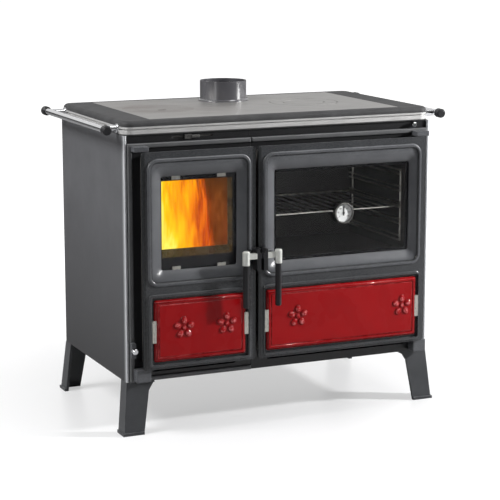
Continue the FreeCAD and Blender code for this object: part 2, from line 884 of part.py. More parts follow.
bracket_reach_out = 30.0
bracket_reach_in = 11.0
bracket_height = 33.0
bracket_top_height = 13.0
bracket_gap = 0.8
bracket_nose = 8.5
pin_depth = 26.0


def hinge_bracket(z, pin_direction):
    """A cast ear on the frame, notched round the frame's border, with the pin that a door turns on."""
    x = (fire_hinge_x - bracket_reach_out, fire_hinge_x + bracket_reach_in)
    ear = level_slab(x, (hinge_y - bracket_nose, front), sheet, z)
    top_bar = hob_bottom - top_band_height
    notch_x = grown(x, overrun)
    notch_y = (front - frame_bead - seat_gap, front + overrun)
    side_x = (notch_x[0], -half_width + frame_side + frame_bead_width + 2 * seat_gap)
    ear = ear.cut(box(notch_x, notch_y, (bottom - overrun, bottom + frame_bead_width + seat_gap)))
    ear = ear.cut(box(notch_x, notch_y, (top_bar - frame_bead_width - seat_gap, top_bar + overrun)))
    ear = ear.cut(box(side_x, notch_y, (bottom - overrun, hob_bottom)))
    pin_start = z[1] if pin_direction > 0 else z[0]
    pin = rod(V(fire_hinge_x, hinge_y, pin_start), Z * pin_direction, hinge_pin_radius, pin_depth)
    return fused([ear, pin])


def hinge_brackets_left():
    """The fire door's lower ear with its pin up, and upper ear with its pin down."""
    lower = hinge_bracket((door_bottom - bracket_gap - bracket_height, door_bottom - bracket_gap), 1)
    upper = hinge_bracket((door_top + bracket_gap, door_top + bracket_gap + bracket_top_height), -1)
    return Part.makeCompound([lower, upper])


def hinge_brackets_right():
    return flipped(hinge_brackets_left())


keeper_half = 3.4
keeper_height = 58.0
keeper_foot = 20.0
keeper_stand = 60.0
keeper_drop = 41.0
keeper_round_share = 0.8


def latch_keeper():
    """Upright plate between the doors that both hooks close over, on a foot on the frame."""
    z = (latch_height - keeper_drop, latch_height - keeper_drop + keeper_height)
    blade = box((gap_x - keeper_half, gap_x + keeper_half), (front - keeper_stand, front), z)
    blade = blade.makeFillet(keeper_half * keeper_round_share, edges_at(blade, "Y", front - keeper_stand))
    foot = box((gap_x - keeper_foot / 2, gap_x + keeper_foot / 2), (front - sheet, front), z)
    return fused([blade, foot])


# Doors

boss_radius = 8.5
boss_height = 32.0
latch_boss_radius = 11.0
latch_boss_length = 24.0
latch_pin_radius = 5.0


def bead(x, z, corner):
    """A raised half-round bead that runs round a rectangle on the door's face."""
    y = (door_front - bead_height, door_front + sheet)
    outer = upright_slab(x, z, corner, y)
    inner_corner = max(corner - bead_width, sheet)
    inner = upright_slab(grown(x, -bead_width), grown(z, -bead_width), inner_corner, grown(y, overrun))
    ring = outer.cut(inner)
    return ring.makeFillet(bead_width * bead_round_share, edges_at(ring, "Y", y[0]))


def bead_places():
    """Heights of the window's bead and the enamel panel's bead."""
    panel_top = panel_z[1] + panel_gap + bead_width
    window_bead_z = (panel_top + bead_spacing, door_top - window_bead_drop)
    return window_bead_z, (door_bottom + panel_bead_margin, panel_top)


def window_recess(bead_x, bead_z, window_x):
    """The shallow slope that falls from the bead's foot to the window's edge."""
    inset = bead_width + window_slope_margin
    slope_back = door_front + window_slope
    rim_x = grown(bead_x, -inset)
    rim = round_outline(rim_x, grown(bead_z, -inset), window_bead_corner - inset, lambda a, b: V(a, door_front, b))
    edge = round_outline(window_x, window_z, window_corner, lambda a, b: V(a, slope_back, b))
    return Part.makeLoft([rim, edge], True, True)


def door_casting(x, window_margin, panel_margin, hinge_x, pivot_x):
    """Cast door: plate, perimeter wall, beads, window, panel pocket, hinge and latch bosses."""
    plate = upright_slab(x, door_z, door_corner, (door_front, door_back))
    wall_x = grown(x, -door_wall_inset)
    wall_z = grown(door_z, -door_wall_inset)
    wall_y = (door_back, front - gasket_depth)
    wall = upright_slab(wall_x, wall_z, door_corner, wall_y)
    hollow_x = grown(wall_x, -door_wall)
    hollow_z = grown(wall_z, -door_wall)
    wall = wall.cut(upright_slab(hollow_x, hollow_z, door_corner, grown(wall_y, overrun)))
    window_bead_z, panel_bead_z = bead_places()
    bead_x = grown(x, -bead_margin)
    window_x = grown(x, -window_margin)
    parts = [plate.cut(window_recess(bead_x, window_bead_z, window_x)), wall]
    parts.append(bead(bead_x, window_bead_z, window_bead_corner))
    parts.append(bead(bead_x, panel_bead_z, panel_bead_corner))
    for end in (door_bottom, door_top - boss_height):
        boss = rod(V(hinge_x, hinge_y, end), Z, boss_radius, boss_height)
        web_x = (hinge_x - boss_radius, hinge_x + boss_radius)
        web = box(web_x, (door_back, hinge_y), (end, end + boss_height))
        parts += [boss, web]
    latch_root = V(pivot_x, door_back, latch_height)
    parts.append(rod(latch_root, -Y, latch_boss_radius, latch_boss_length + door_plate))
    shape = fused(parts)
    through = grown((door_front, door_back), overrun)
    window = upright_slab(window_x, window_z, window_corner, through)
    shape = shape.cut(window)
    pocket_x = grown(x, -panel_margin + panel_gap)
    pocket_y = (door_front - overrun, door_front + pocket_depth)
    shape = shape.cut(upright_slab(pocket_x, grown(panel_z, panel_gap), panel_corner, pocket_y))
    pin_length = pin_depth + bracket_gap + seat_gap
    pin_hole = hinge_pin_radius + running_clearance
    for place, direction in ((door_bottom - overrun, Z), (door_top + overrun, -Z)):
        shape = shape.cut(rod(V(hinge_x, hinge_y, place), direction, pin_hole, pin_length + overrun))
    start = V(pivot_x, door_front - latch_boss_length - overrun, latch_height)
    pivot_length = latch_boss_length + overrun + door_plate / 2
    return shape.cut(rod(start, Y, latch_pin_radius + running_clearance, pivot_length))


def gasket(x):
    """Rope seal in the door's rear groove, which meets the frame."""
    centre_inset = door_wall_inset + door_wall / 2
    ring_x_span = grown(x, -centre_inset + gasket_width / 2)
    ring_z_span = grown(door_z, -centre_inset + gasket_width / 2)
    y = (front - gasket_depth, front - seat_gap)
    outer = upright_slab(ring_x_span, ring_z_span, door_corner + gasket_width / 2, y)
    inner_x = grown(ring_x_span, -gasket_width)
    inner_z = grown(ring_z_span, -gasket_width)
    return outer.cut(upright_slab(inner_x, inner_z, door_corner, grown(y, overrun)))


def window_glass(x, window_margin):
    """Ceramic pane that laps behind the window on all sides."""
    pane_x = grown(x, -window_margin + glass_lap)
    pane_y = (door_back, door_back + glass_thickness)
    return upright_slab(pane_x, grown(window_z, glass_lap), window_corner, pane_y)


spacer_radius = 6.0
spacer_inset = 48.0
spacer_rise = 24.0


def inner_plate(x):
    """Steel heat shield behind the door's lower half."""
    inset = door_wall_inset + door_wall + seat_gap
    shield_back = front - gasket_depth - sheet
    plate_z = (door_bottom + inset, window_z[0] - glass_lap - sheet)
    shield = upright_slab(grown(x, -inset), plate_z, door_corner, (shield_back, shield_back + sheet))
    spacers = []
    for place in grown(x, -inset - spacer_inset):
        for height in grown(plate_z, -spacer_rise):
            spacers.append(rod(V(place, door_back, height), Y, spacer_radius, shield_back - door_back))
    return fused([shield] + spacers)


petal_count = 5
petal_radius = 9.35
flower_centre_radius = 5.5
petal_ring = 17.0
petal_height = 1.6
dome_root = 0.5
field_bevel = 1.35
flower_height_share = 0.53


def dome(x, z, radius, y, height):
    """A shallow round swelling on a face that looks to the front."""
    ball = (radius * radius + height * height) / (2 * height)
    sphere = Part.makeSphere(ball, V(x, y - height + ball, z))
    keep = rod(V(x, y - height - overrun, z), Y, radius + overrun, height + overrun + dome_root)
    return sphere.common(keep)


def enamel_panel(x, panel_margin, flower_places):
    """Pressed enamel panel with a bevelled rim, a raised field and two five-petal flowers."""
    panel_x = grown(x, -panel_margin)
    y = (door_front + pocket_depth - panel_rise, door_front + pocket_depth)
    tray = upright_slab(panel_x, panel_z, panel_corner, y)
    tray = tray.makeChamfer(panel_bevel, edges_at(tray, "Y", y[0]))
    field_y = (y[0] - panel_field_rise, y[0] + panel_bevel)
    field = upright_slab(grown(panel_x, -panel_border), grown(panel_z, -panel_border), panel_corner, field_y)
    field = field.makeChamfer(field_bevel, edges_at(field, "Y", field_y[0]))
    parts = [tray, field]
    centre_z = panel_z[0] + panel_height * flower_height_share
    for centre_x in flower_places:
        parts.append(dome(centre_x, centre_z, flower_centre_radius, field_y[0], petal_height))
        for petal in range(petal_count):
            angle = math.radians(90 + 360 * petal / petal_count)
            petal_x = centre_x + petal_ring * math.cos(angle)
            petal_z = centre_z + petal_ring * math.sin(angle)
            parts.append(dome(petal_x, petal_z, petal_radius, field_y[0], petal_height))
    return fused(parts)


clip_width = 12.0
clip_length = 61.0
clip_lap = 5.0
clip_sheet = 2.0


def panel_clips(x, panel_margin):
    """Two bright spring strips that hold the enamel panel at its ends."""
    clips = []
    face = door_front + pocket_depth - panel_rise
    centre = middle(panel_z)
    z = (centre - clip_length / 2, centre + clip_length / 2)
    for edge, outward in ((x[0] + panel_margin, -1), (x[1] - panel_margin, 1)):
        cover = sorted((edge - outward * clip_lap, edge + outward * (panel_gap - 2 * seat_gap)))
        leg = sorted((edge + outward * seat_gap, edge + outward * (seat_gap + clip_sheet)))
        strip = box(cover, (face - clip_sheet, face), z)
        stem = box(leg, (face - clip_sheet, door_front + pocket_depth), z)
        clips.append(fused([strip, stem]))
    return Part.makeCompound(clips)


glass_clip_width = 24.0
glass_clip_height = 9.0
glass_clip_sheet = 2.5
glass_clip_share = 0.2


def glass_clips(x, window_margin):
    """Four small bright clips at the top and foot of the window that hold the pane."""
    window_x = grown(x, -window_margin)
    span = window_x[1] - window_x[0]
    clips = []
    for share in (glass_clip_share, 1 - glass_clip_share):
        centre = window_x[0] + span * share
        clip_x = (centre - glass_clip_width / 2, centre + glass_clip_width / 2)
        clip_y = (door_back - glass_clip_sheet, door_back)
        for low in (window_z[0], window_z[1] - glass_clip_height):
            clips.append(box(clip_x, clip_y, (low, low + glass_clip_height)))
    return Part.makeCompound(clips)


def fire_door_casting():
    pivot_x = gap_x - latch_pivot_offset
    return door_casting(fire_door_x, fire_window_margin, fire_panel_margin, fire_hinge_x, pivot_x)


def fire_door_gasket():
    return gasket(fire_door_x)


def fire_door_glass():
    return window_glass(fire_door_x, fire_window_margin)


def fire_glass_clips():
    return glass_clips(fire_door_x, fire_window_margin)


def fire_door_inner_plate():
    return inner_plate(fire_door_x)


flower_from_side = 84.0
oven_flower_from_side = 93.0
fire_flower_right = 58.0
oven_flower_right = 47.0


def fire_enamel_panel():
    panel_x = grown(fire_door_x, -fire_panel_margin)
    places = (panel_x[0] + flower_from_side, panel_x[1] - fire_flower_right)
    return enamel_panel(fire_door_x, fire_panel_margin, places)


def fire_panel_clips():
    return panel_clips(fire_door_x, fire_panel_margin)


def oven_door_casting():
    pivot_x = gap_x + latch_pivot_offset
    return door_casting(oven_door_x, oven_window_margin, oven_panel_margin, oven_hinge_x, pivot_x)


def oven_door_gasket():
    return gasket(oven_door_x)


def oven_door_glass():
    """The pane, drilled for the thermometer's stem."""
    centre = V(middle(oven_door_x), door_back - overrun, thermometer_z)
    stem = rod(centre, Y, thermometer_stem + seat_gap, glass_thickness + 2 * overrun)
    return window_glass(oven_door_x, oven_window_margin).cut(stem)


def oven_door_inner_plate():
    return inner_plate(oven_door_x)


def oven_enamel_panel():
    panel_x = grown(oven_door_x, -oven_panel_margin)
    places = (panel_x[0] + oven_flower_from_side, panel_x[1] - oven_flower_right)
    return enamel_panel(oven_door_x, oven_panel_margin, places)


def oven_panel_clips():
    return panel_clips(oven_door_x, oven_panel_margin)


# Oven thermometer

thermometer_drop = 6.0
thermometer_radius = 29.0
thermometer_depth = 16.0
thermometer_rim = 4.0
thermometer_bowl_depth = 7.2
thermometer_dial_depth = 1.5
thermometer_stem = 6.0
probe_length = 24.0
needle_length = 19.0
needle_tail = 7.0
needle_thickness = 1.0
needle_hub = 3.0
needle_hub_height = 1.5
needle_tip_half = 0.6
needle_pin = 1.2
needle_pin_drop = 1.5
thermometer_z = middle(window_z) - thermometer_drop


def thermometer_case():
    """Round case on the glass with a raised rim and a probe through the pane."""
    centre = V(middle(oven_door_x), door_back, thermometer_z)
    case = rod(centre, -Y, thermometer_radius, thermometer_depth)
    rim = edges_at(case, "Y", door_back - thermometer_depth)
    case = case.makeChamfer(thermometer_rim * edge_round_share, rim)
    bowl_start = centre - Y * (thermometer_depth - thermometer_bowl_depth)
    bowl = rod(bowl_start, -Y, thermometer_radius - thermometer_rim, thermometer_bowl_depth + overrun)
    probe = rod(centre, Y, thermometer_stem, glass_thickness + probe_length)
    pin = rod(centre, -Y, needle_pin, thermometer_depth - needle_pin_drop)
    return fused([case.cut(bowl), probe, pin])


def thermometer_dial():
    """Pale dial plate at the bottom of the case."""
    centre = V(middle(oven_door_x), door_back - thermometer_depth + thermometer_bowl_depth, thermometer_z)
    outer = thermometer_radius - thermometer_rim - seat_gap
    return tube(centre, -Y, outer, needle_pin + seat_gap, thermometer_dial_depth)


def thermometer_needle():
    """Balanced pointer that turns on the case's pin."""
    face = door_back - thermometer_depth + thermometer_bowl_depth - thermometer_dial_depth - seat_gap
    centre = V(middle(oven_door_x), face, thermometer_z)
    outline = []
    for across, up in ((-needle_hub / 2, -needle_tail), (needle_hub / 2, -needle_tail),
                       (needle_tip_half, needle_length), (-needle_tip_half, needle_length)):
        outline.append(centre + X * across + Z * up)
    pointer = prism(outline, -Y * needle_thickness)
    hub = rod(centre, -Y, needle_hub, needle_hub_height)
    hole = rod(centre + Y * overrun, -Y, needle_pin + running_clearance, 2 * overrun)
    return fused([pointer, hub]).cut(hole)


# Latches, drawn for the fire door and mirrored for the oven door

arm_height = 15.0
arm_depth = 13.0
arm_gap = 0.8
hook_split = 14.0
hook_reach = 28.5
hook_flank = 25.6
hook_drop = 41.0
hook_angle = 46
hook_back_gap = 3.0
finger_half = 7.0
finger_clear = 1.2
grip_round_share = 0.6
latch_x = gap_x - latch_pivot_offset
latch_plane = door_front - latch_boss_length - arm_gap


def fire_latch_lever():
    """Bright arm with the pivot pin and the upright ferrule that holds the grip."""
    grip_x = gap_x - latch_grip_offset
    arm_y = (latch_plane - arm_depth, latch_plane)
    arm_z = (latch_height - arm_height / 2, latch_height + arm_height / 2)
    arm = box((grip_x, latch_x + hook_split), arm_y, arm_z)
    pin_start = V(latch_x, latch_plane - arm_depth, latch_height)
    pin = rod(pin_start, Y, latch_pin_radius, arm_depth + latch_boss_length + sheet)
    ferrule_base = latch_height + arm_height - ferrule_height
    ferrule = rod(V(grip_x, grip_y, ferrule_base), Z, ferrule_radius, ferrule_height)
    rim = edges_at(ferrule, "Z", ferrule_base + ferrule_height)
    ferrule = ferrule.makeChamfer(ferrule_radius * edge_round_share, rim)
    return fused([arm, pin, ferrule])


def fire_latch_grip():
    """Black rod with a domed end that hangs from the ferrule."""
    grip_x = gap_x - latch_grip_offset
    top = latch_height + arm_height - ferrule_height
    grip = rod(V(grip_x, grip_y, top - grip_length), Z, grip_radius, grip_length)
    return grip.makeFillet(grip_radius * grip_round_share, edges_at(grip, "Z", top - grip_length))


def fire_latch_hook():
    """Black claw: its flank runs beside the keeper and its finger closes over the keeper's nose."""
    pivot = V(latch_x, latch_plane - arm_depth, latch_height)
    turn = math.radians(hook_angle)
    low_inner = pivot + X * hook_split - Z * hook_drop
    low_outer = pivot + X * hook_flank - Z * hook_drop
    side = pivot + X * hook_flank
    middle_of_arc = pivot + (X * math.cos(turn / 2) + Z * math.sin(turn / 2)) * hook_flank
    high_outer = pivot + (X * math.cos(turn) + Z * math.sin(turn)) * hook_flank
    high_inner = pivot + X * hook_split + Z * hook_flank * math.sin(turn)
    edges = [Part.makeLine(low_inner, low_outer), Part.makeLine(low_outer, side),
             Part.Arc(side, middle_of_arc, high_outer).toShape(),
             Part.makeLine(high_outer, high_inner), Part.makeLine(high_inner, low_inner)]
    flank_depth = arm_depth + latch_boss_length + arm_gap - bead_height - hook_back_gap
    flank = Part.Face(Part.Wire(edges)).extrude(Y * flank_depth)
    finger_x = (latch_x + hook_split, latch_x + hook_reach)
    finger_y = (latch_plane - arm_depth, front - keeper_stand - finger_clear)
    finger = box(finger_x, finger_y, (latch_height - finger_half, latch_height + finger_half))
    return fused([flank, finger])


def oven_latch_lever():
    return flipped(fire_latch_lever(), gap_x)


def oven_latch_grip():
    return flipped(fire_latch_grip(), gap_x)


def oven_latch_hook():
    return flipped(fire_latch_hook(), gap_x)


NODES = [
    side_panel_left, side_panel_right, back_panel, base_plate, front_frame_left, front_frame_right,
    leg_front_left, leg_front_right, leg_back_left, leg_back_right, leg_bolts,
    hob_frame, hob_plate, hob_ring, hob_disc, flue_collar,
    rail_left, rail_right, rail_caps, rail_brackets,
    firebox_shell, firebrick_lining, fire_grate, ash_runners, ash_drawer,
    oven_box, storage_box, oven_runners, oven_rack, flue_divider, damper_seat, bypass_damper,
    secondary_air_slider, primary_air_bracket, primary_air_knob,
    hinge_brackets_left, hinge_brackets_right, latch_keeper,
    fire_door_casting, fire_door_gasket, fire_door_glass, fire_glass_clips, fire_door_inner_plate,
    fire_enamel_panel, fire_panel_clips,
    oven_door_casting, oven_door_gasket, oven_door_glass, oven_door_inner_plate, oven_enamel_panel,
    oven_panel_clips, thermometer_case, thermometer_dial, thermometer_needle,
    fire_latch_lever, fire_latch_grip, fire_latch_hook, oven_latch_lever, oven_latch_grip, oven_latch_hook,
]

os.makedirs("parts", exist_ok=True)
for build in NODES:
    shape = build()
    shape.exportStep("parts/" + build.__name__ + ".step")
    bounds = shape.BoundBox
    corners = (bounds.XMin, bounds.XMax, bounds.YMin, bounds.YMax, bounds.ZMin, bounds.ZMax)
    places = [round(corner, 1) for corner in corners]
    print(build.__name__, len(shape.Solids), shape.isValid(), round(shape.Volume), places)
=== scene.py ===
# %% [markdown]
# # A wood-burning cooking stove
# The stove's solids come packed from CAD, and this lesson dresses them: finishes for every piece,
# a fire behind the glass, the dial's print, screws and seals, and a plain studio round them.
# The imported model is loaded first, because every new piece is placed by it and moves with it.

# %% Load the fixed frame
import math
import random

import bmesh
import bpy
from mathutils import Matrix, Vector, noise


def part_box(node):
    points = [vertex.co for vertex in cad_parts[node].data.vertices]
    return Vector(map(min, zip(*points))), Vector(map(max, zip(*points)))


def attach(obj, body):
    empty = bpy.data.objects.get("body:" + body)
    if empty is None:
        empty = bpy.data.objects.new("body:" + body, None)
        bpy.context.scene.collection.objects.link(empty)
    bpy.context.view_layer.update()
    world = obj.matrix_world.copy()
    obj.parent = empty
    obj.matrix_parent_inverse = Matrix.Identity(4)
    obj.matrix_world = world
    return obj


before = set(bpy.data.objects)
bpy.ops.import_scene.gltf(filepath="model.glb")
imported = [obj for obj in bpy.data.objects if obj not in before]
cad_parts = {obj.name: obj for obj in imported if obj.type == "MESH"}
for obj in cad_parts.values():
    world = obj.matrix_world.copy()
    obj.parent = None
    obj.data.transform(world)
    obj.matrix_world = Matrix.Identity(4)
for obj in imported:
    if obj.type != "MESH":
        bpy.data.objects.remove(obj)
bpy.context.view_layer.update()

scene = bpy.context.scene

# %% [markdown]
# ## The camera
# The photograph was taken from the left and above with a long lens, so uprights stay nearly upright.
# The place, turn and lens were fitted to the stove's corners. No lens shift is used, because a
# shifted lens would push the stove out of the frame when it is seen from another side.

# %% Place the camera
def new_object(name, data):
    """Puts a camera, a lamp or a mesh in the scene."""
    made = bpy.data.objects.new(name, data)
    scene.collection.objects.link(made)
    return made


camera_place = Vector((-1.9935, -4.4542, 1.3694))
camera_turn = math.radians(24.17)
camera_dip = math.radians(10.86)
camera_data = bpy.data.cameras.new("photo_camera")
camera_data.lens = 124.1
camera_data.sensor_width = 36.0
camera = new_object("photo_camera", camera_data)
camera.location = camera_place
camera.rotation_euler = (math.pi / 2 - camera_dip, 0, -camera_turn)
scene.camera = camera
print("camera at", tuple(camera_place))

# %% [markdown]
# ## Helpers for nodes
# Materials are built from nodes here. A helper adds one node or a few and gives the output, so that
# a finish reads like a sum. A socket knows its own node tree, as id_data, so few helpers ask for it.

# %% Node helpers
def feed(socket, value):
    """Joins a socket to another node's output, or sets it to a plain value."""
    if isinstance(value, bpy.types.NodeSocket):
        socket.id_data.links.new(value, socket)
    else:
        socket.default_value = value


def join(source, node, socket):
    node.id_data.links.new(source, node.inputs[socket])


def add_node(tree, kind, sockets=None, **settings):
    """Adds a shader node. A socket's value is a number, a colour or another node's output to join."""
    node = tree.nodes.new("ShaderNode" + kind)
    for key, value in settings.items():
        setattr(node, key, value)
    for key, value in (sockets or {}).items():
        feed(node.inputs[key], value)
    return node


def maths(operation, first, second=0.0, clamp=False):
    """The output of one Math node. At least one of the values is another node's output."""
    tree = (second if isinstance(first, float) else first).id_data
    return add_node(tree, "Math", {0: first, 1: second}, operation=operation, use_clamp=clamp).outputs[0]


def times(first, second):
    return maths("MULTIPLY", first, second)


def spread(value, low, high, new_low=0.0, new_high=1.0):
    """Maps a value from one range to another, held at its ends."""
    sockets = {"Value": value, "From Min": low, "From Max": high, "To Min": new_low, "To Max": new_high}
    return add_node(value.id_data, "MapRange", sockets).outputs["Result"]


def colours(value, stops):
    """A colour ramp through (position, colour) stops."""
    node = add_node(value.id_data, "ValToRGB", {"Fac": value})
    ramp = node.color_ramp
    while len(ramp.elements) < len(stops):
        ramp.elements.new(0.5)
    for element, (position, colour) in zip(ramp.elements, stops):
        element.position = position
        element.color = (*colour, 1.0)
    return node.outputs["Color"]


def blend_colours(share, first, second):
    """Mixes two colours by a mask."""
    node = add_node(share.id_data, "Mix", data_type="RGBA")
    for place, value in ((0, share), (6, first), (7, second)):
        feed(node.inputs[place], value)
    return node.outputs[2]


def new_finish(name, metallic=0.0, roughness=0.5, **constants):
    """A material with its Principled shader. Constants are written as Coat_Weight=0.5."""
    material = bpy.data.materials.new(name)
    material.use_nodes = True
    shader = material.node_tree.nodes["Principled BSDF"]
    shader.inputs["Metallic"].default_value = metallic
    shader.inputs["Roughness"].default_value = roughness
    for key, value in constants.items():
        shader.inputs[key.replace("_", " ")].default_value = value
    return material, material.node_tree, shader


def seen_directly(tree):
    """One for what the camera sees straight or through glass, and zero for the rest."""
    path = add_node(tree, "LightPath").outputs
    return maths("MAXIMUM", path["Is Camera Ray"], path["Is Transmission Ray"])


def faced(tree):
    """The parts of the way a face looks."""
    return add_node(tree, "SeparateXYZ", {0: add_node(tree, "NewGeometry").outputs["Normal"]}).outputs


print("node helpers ready")

# %% Helpers for places and noise
def object_coords(tree):
    return add_node(tree, "TexCoord").outputs["Object"]


def along(tree, axis):
    """How far a point lies along one of the object's axes."""
    return add_node(tree, "SeparateXYZ", {0: object_coords(tree)}).outputs[axis]


def stretched(tree, by):
    """The object's coordinates, each scaled by its own number."""
    return add_node(tree, "VectorMath", {0: object_coords(tree), 1: by}, operation="MULTIPLY").outputs[0]


def noise_of(tree, scale, detail=2.0, **more):
    """Noise, a value near 0.5. It runs through the object unless more sockets give a Vector."""
    sockets = {"Vector": object_coords(tree), "Scale": scale, "Detail": detail, **more}
    return add_node(tree, "TexNoise", sockets).outputs["Fac"]


print("noise helpers ready")

# %% [markdown]
# ## The studio
# Product pictures of dark stoves use large soft lights, so that paint shows a slow change of tone
# and edges catch a line of light. Six soft boxes and a pale sky do that here. Mirrors see a pale room
# behind the stove and a dim one in front, as in a studio, so the enamel stays deep. The floor is one
# sheet that curves up behind, so no horizon shows. Its white comes from a glow that only the camera
# sees, also through glass, while the stove's shadow still falls on it. The glow is weaker near the
# stove, which is a painted shade round its foot.

# %% Soft boxes
def soft_box(name, place, target, size, power):
    """A square lamp that faces the target."""
    lamp_data = bpy.data.lights.new(name, "AREA")
    lamp_data.shape = "RECTANGLE"
    lamp_data.size, lamp_data.size_y = size
    lamp_data.energy = power
    lamp = new_object(name, lamp_data)
    lamp.location = place
    lamp.rotation_euler = (Vector(target) - Vector(place)).to_track_quat("-Z", "Y").to_euler()


stove_middle = (0.0, 0.0, 0.5)
soft_box("left_box", (-2.4, -0.1, 2.6), (-0.4, 0.0, 0.8), (1.0, 1.0), 98)
soft_box("left_strip", (-2.7, -1.3, 1.4), (-0.46, -0.23, 0.8), (0.5, 1.4), 10)
soft_box("front_box", (-0.9, -3.0, 3.6), stove_middle, (1.4, 0.7), 9)
soft_box("right_box", (2.8, -0.4, 1.5), (0.1, 0.0, 0.6), (2.4, 1.7), 22)
soft_box("right_key", (2.59, -1.36, 1.58), (-0.2, -0.28, 0.4), (0.18, 0.26), 150)
soft_box("top_box", (1.0, -0.8, 3.3), stove_middle, (1.5, 1.1), 22)

# %% Sky and floor
white = (1.0, 1.0, 1.0, 1.0)
world = bpy.data.worlds.new("studio")
world.use_nodes = True
sky_tree = world.node_tree
sky_tree.nodes.clear()
looking = add_node(sky_tree, "TexCoord").outputs["Generated"]
towards_back = add_node(sky_tree, "SeparateXYZ", {0: looking}).outputs["Y"]
mirrored = times(
    add_node(sky_tree, "LightPath").outputs["Is Glossy Ray"], spread(towards_back, -0.2, 0.4, 0.15, 0.8))
pale = maths("MAXIMUM", times(seen_directly(sky_tree), 0.8), mirrored)
sky = add_node(sky_tree, "Background", {"Color": white, "Strength": maths("MAXIMUM", pale, 0.09)})
add_node(sky_tree, "OutputWorld", {"Surface": sky.outputs[0]})
scene.world = world

floor_size, sweep_radius = 30.0, 6.0
floor_shape = bmesh.new()
bmesh.ops.create_grid(floor_shape, x_segments=1, y_segments=1, size=floor_size)
back_edge = [e for e in floor_shape.edges if all(v.co.y > 0 for v in e.verts)]
bmesh.ops.spin(
    floor_shape, geom=back_edge + list(back_edge[0].verts), cent=(0, floor_size, sweep_radius),
    axis=(1, 0, 0), angle=math.pi / 2, steps=16, use_duplicate=False)
floor_mesh = bpy.data.meshes.new("studio_floor")
floor_shape.to_mesh(floor_mesh)
floor_shape.free()
studio_floor = new_object("studio_floor", floor_mesh)

floor_material, tree, shader = new_finish(
    "pale_floor", roughness=0.32, Base_Color=(0.38, 0.38, 0.385, 1.0), Emission_Color=white)
distance = add_node(tree, "VectorMath", {0: object_coords(tree)}, operation="LENGTH").outputs["Value"]
# The glow is dimmer near the stove, a painted shade round its foot.
glow_dimmed_near_stove = spread(distance, 0.4, 2.2, 0.44, 1.0)
join(times(seen_directly(tree), glow_dimmed_near_stove), shader, "Emission Strength")
floor_mesh.materials.append(floor_material)
print("floor points:", len(floor_mesh.vertices))

scene.view_settings.view_transform = "Standard"

# %% [markdown]
# ## Shared effects
# Several finishes of the stove share an effect: a grain in cast paint, brushing lines on steel, an
# edge mask for pale wear, painted highlights and painted shade, dust on what faces up, and a fade with
# height for soot and for painted shade near the floor. Each is a node group, built once and set to
# different values in each material, so that a change is made in one place.

# %% Node groups
def tones(dark, light):
    """The two colours that a shared effect goes between."""
    return {"Dark": (*dark, 1.0), "Light": (*light, 1.0)}


def node_group(name, inputs, outputs):
    """A shader group with named sockets. Gives the group, the input's sockets and the output node."""
    group = bpy.data.node_groups.new(name, "ShaderNodeTree")
    for label, value in inputs.items():
        kind = "Float"
        if isinstance(value, tuple):
            kind = "Color" if len(value) == 4 else "Vector"
        group.interface.new_socket(
            label, in_out="INPUT", socket_type="NodeSocket" + kind).default_value = value
    for label, kind in outputs.items():
        group.interface.new_socket(label, in_out="OUTPUT", socket_type="NodeSocket" + kind)
    return group, group.nodes.new("NodeGroupInput").outputs, group.nodes.new("NodeGroupOutput")


def use_group(tree, group, **values):
    """Places a shared effect in a material. Its values are written as Break_Up=20.0."""
    sockets = {key.replace("_", " "): value for key, value in values.items()}
    return add_node(tree, "Group", sockets, node_tree=group).outputs


# Paint or bare casting: a fine pebble of the mould's sand and a slow change of tone.
cast_grain, given, made = node_group(
    "cast_grain", {"Pebble": 900.0, "Mottle": 14.0, **tones((0.05, 0.05, 0.05), (0.1, 0.1, 0.1))},
    {"Color": "Color", "Height": "Float"})
pebble = noise_of(cast_grain, given["Pebble"], 3.0)
mottle = noise_of(cast_grain, given["Mottle"], 5.0, Roughness=0.6)
tone = spread(mottle, 0.3, 0.7)
speck = spread(pebble, 0.35, 0.65, -0.12, 0.12)
tone = maths("ADD", tone, speck, clamp=True)
join(blend_colours(tone, given["Dark"], given["Light"]), made, "Color")
join(pebble, made, "Height")

# Brushing: noise drawn out along one way.
brushing, given, made = node_group(
    "brushing", {"Stretch": (20.0, 900.0, 900.0), **tones((0.4, 0.4, 0.4), (0.6, 0.6, 0.6))},
    {"Color": "Color", "Height": "Float", "Streak": "Float"})
lines = noise_of(brushing, 1.0, 4.0, Roughness=0.65, Vector=stretched(brushing, given["Stretch"]))
streak = spread(lines, 0.3, 0.7)
join(blend_colours(streak, given["Dark"], given["Light"]), made, "Color")
join(lines, made, "Height")
join(streak, made, "Streak")

# Edges: where a rounded normal leaves the face's own normal there is an edge. Finishes use the
# mask for pale wear, for painted highlights and for painted shade in hollows.
edge_wear_and_painted_light, given, made = node_group(
    "edge_wear_and_painted_light", {"Width": 0.001, "Break Up": 60.0, "Patchy": 1.0}, {"Mask": "Float", "Normal": "Vector"})
rounded = add_node(edge_wear_and_painted_light, "Bevel", {"Radius": given["Width"]}, samples=4)
plain = add_node(edge_wear_and_painted_light, "NewGeometry")
agree = add_node(
    edge_wear_and_painted_light, "VectorMath", {0: rounded.outputs[0], 1: plain.outputs["Normal"]}, operation="DOT_PRODUCT")
edge = spread(agree.outputs["Value"], 0.995, 0.86)
patchy = noise_of(edge_wear_and_painted_light, given["Break Up"], 3.0)
patch = spread(patchy, 0.38, 0.6, maths("SUBTRACT", 1.0, given["Patchy"]), 1.0)
join(times(edge, patch), made, "Mask")
join(rounded.outputs[0], made, "Normal")

# Dust: settles on what faces up, in patches.
settled_dust, given, made = node_group("settled_dust", {"Amount": 0.3, "Patch": 25.0}, {"Mask": "Float"})
upward = spread(faced(settled_dust)["Z"], 0.3, 0.95)
cloud = noise_of(settled_dust, given["Patch"], 6.0)
lying = times(upward, spread(cloud, 0.35, 0.7))
join(times(lying, given["Amount"]), made, "Mask")
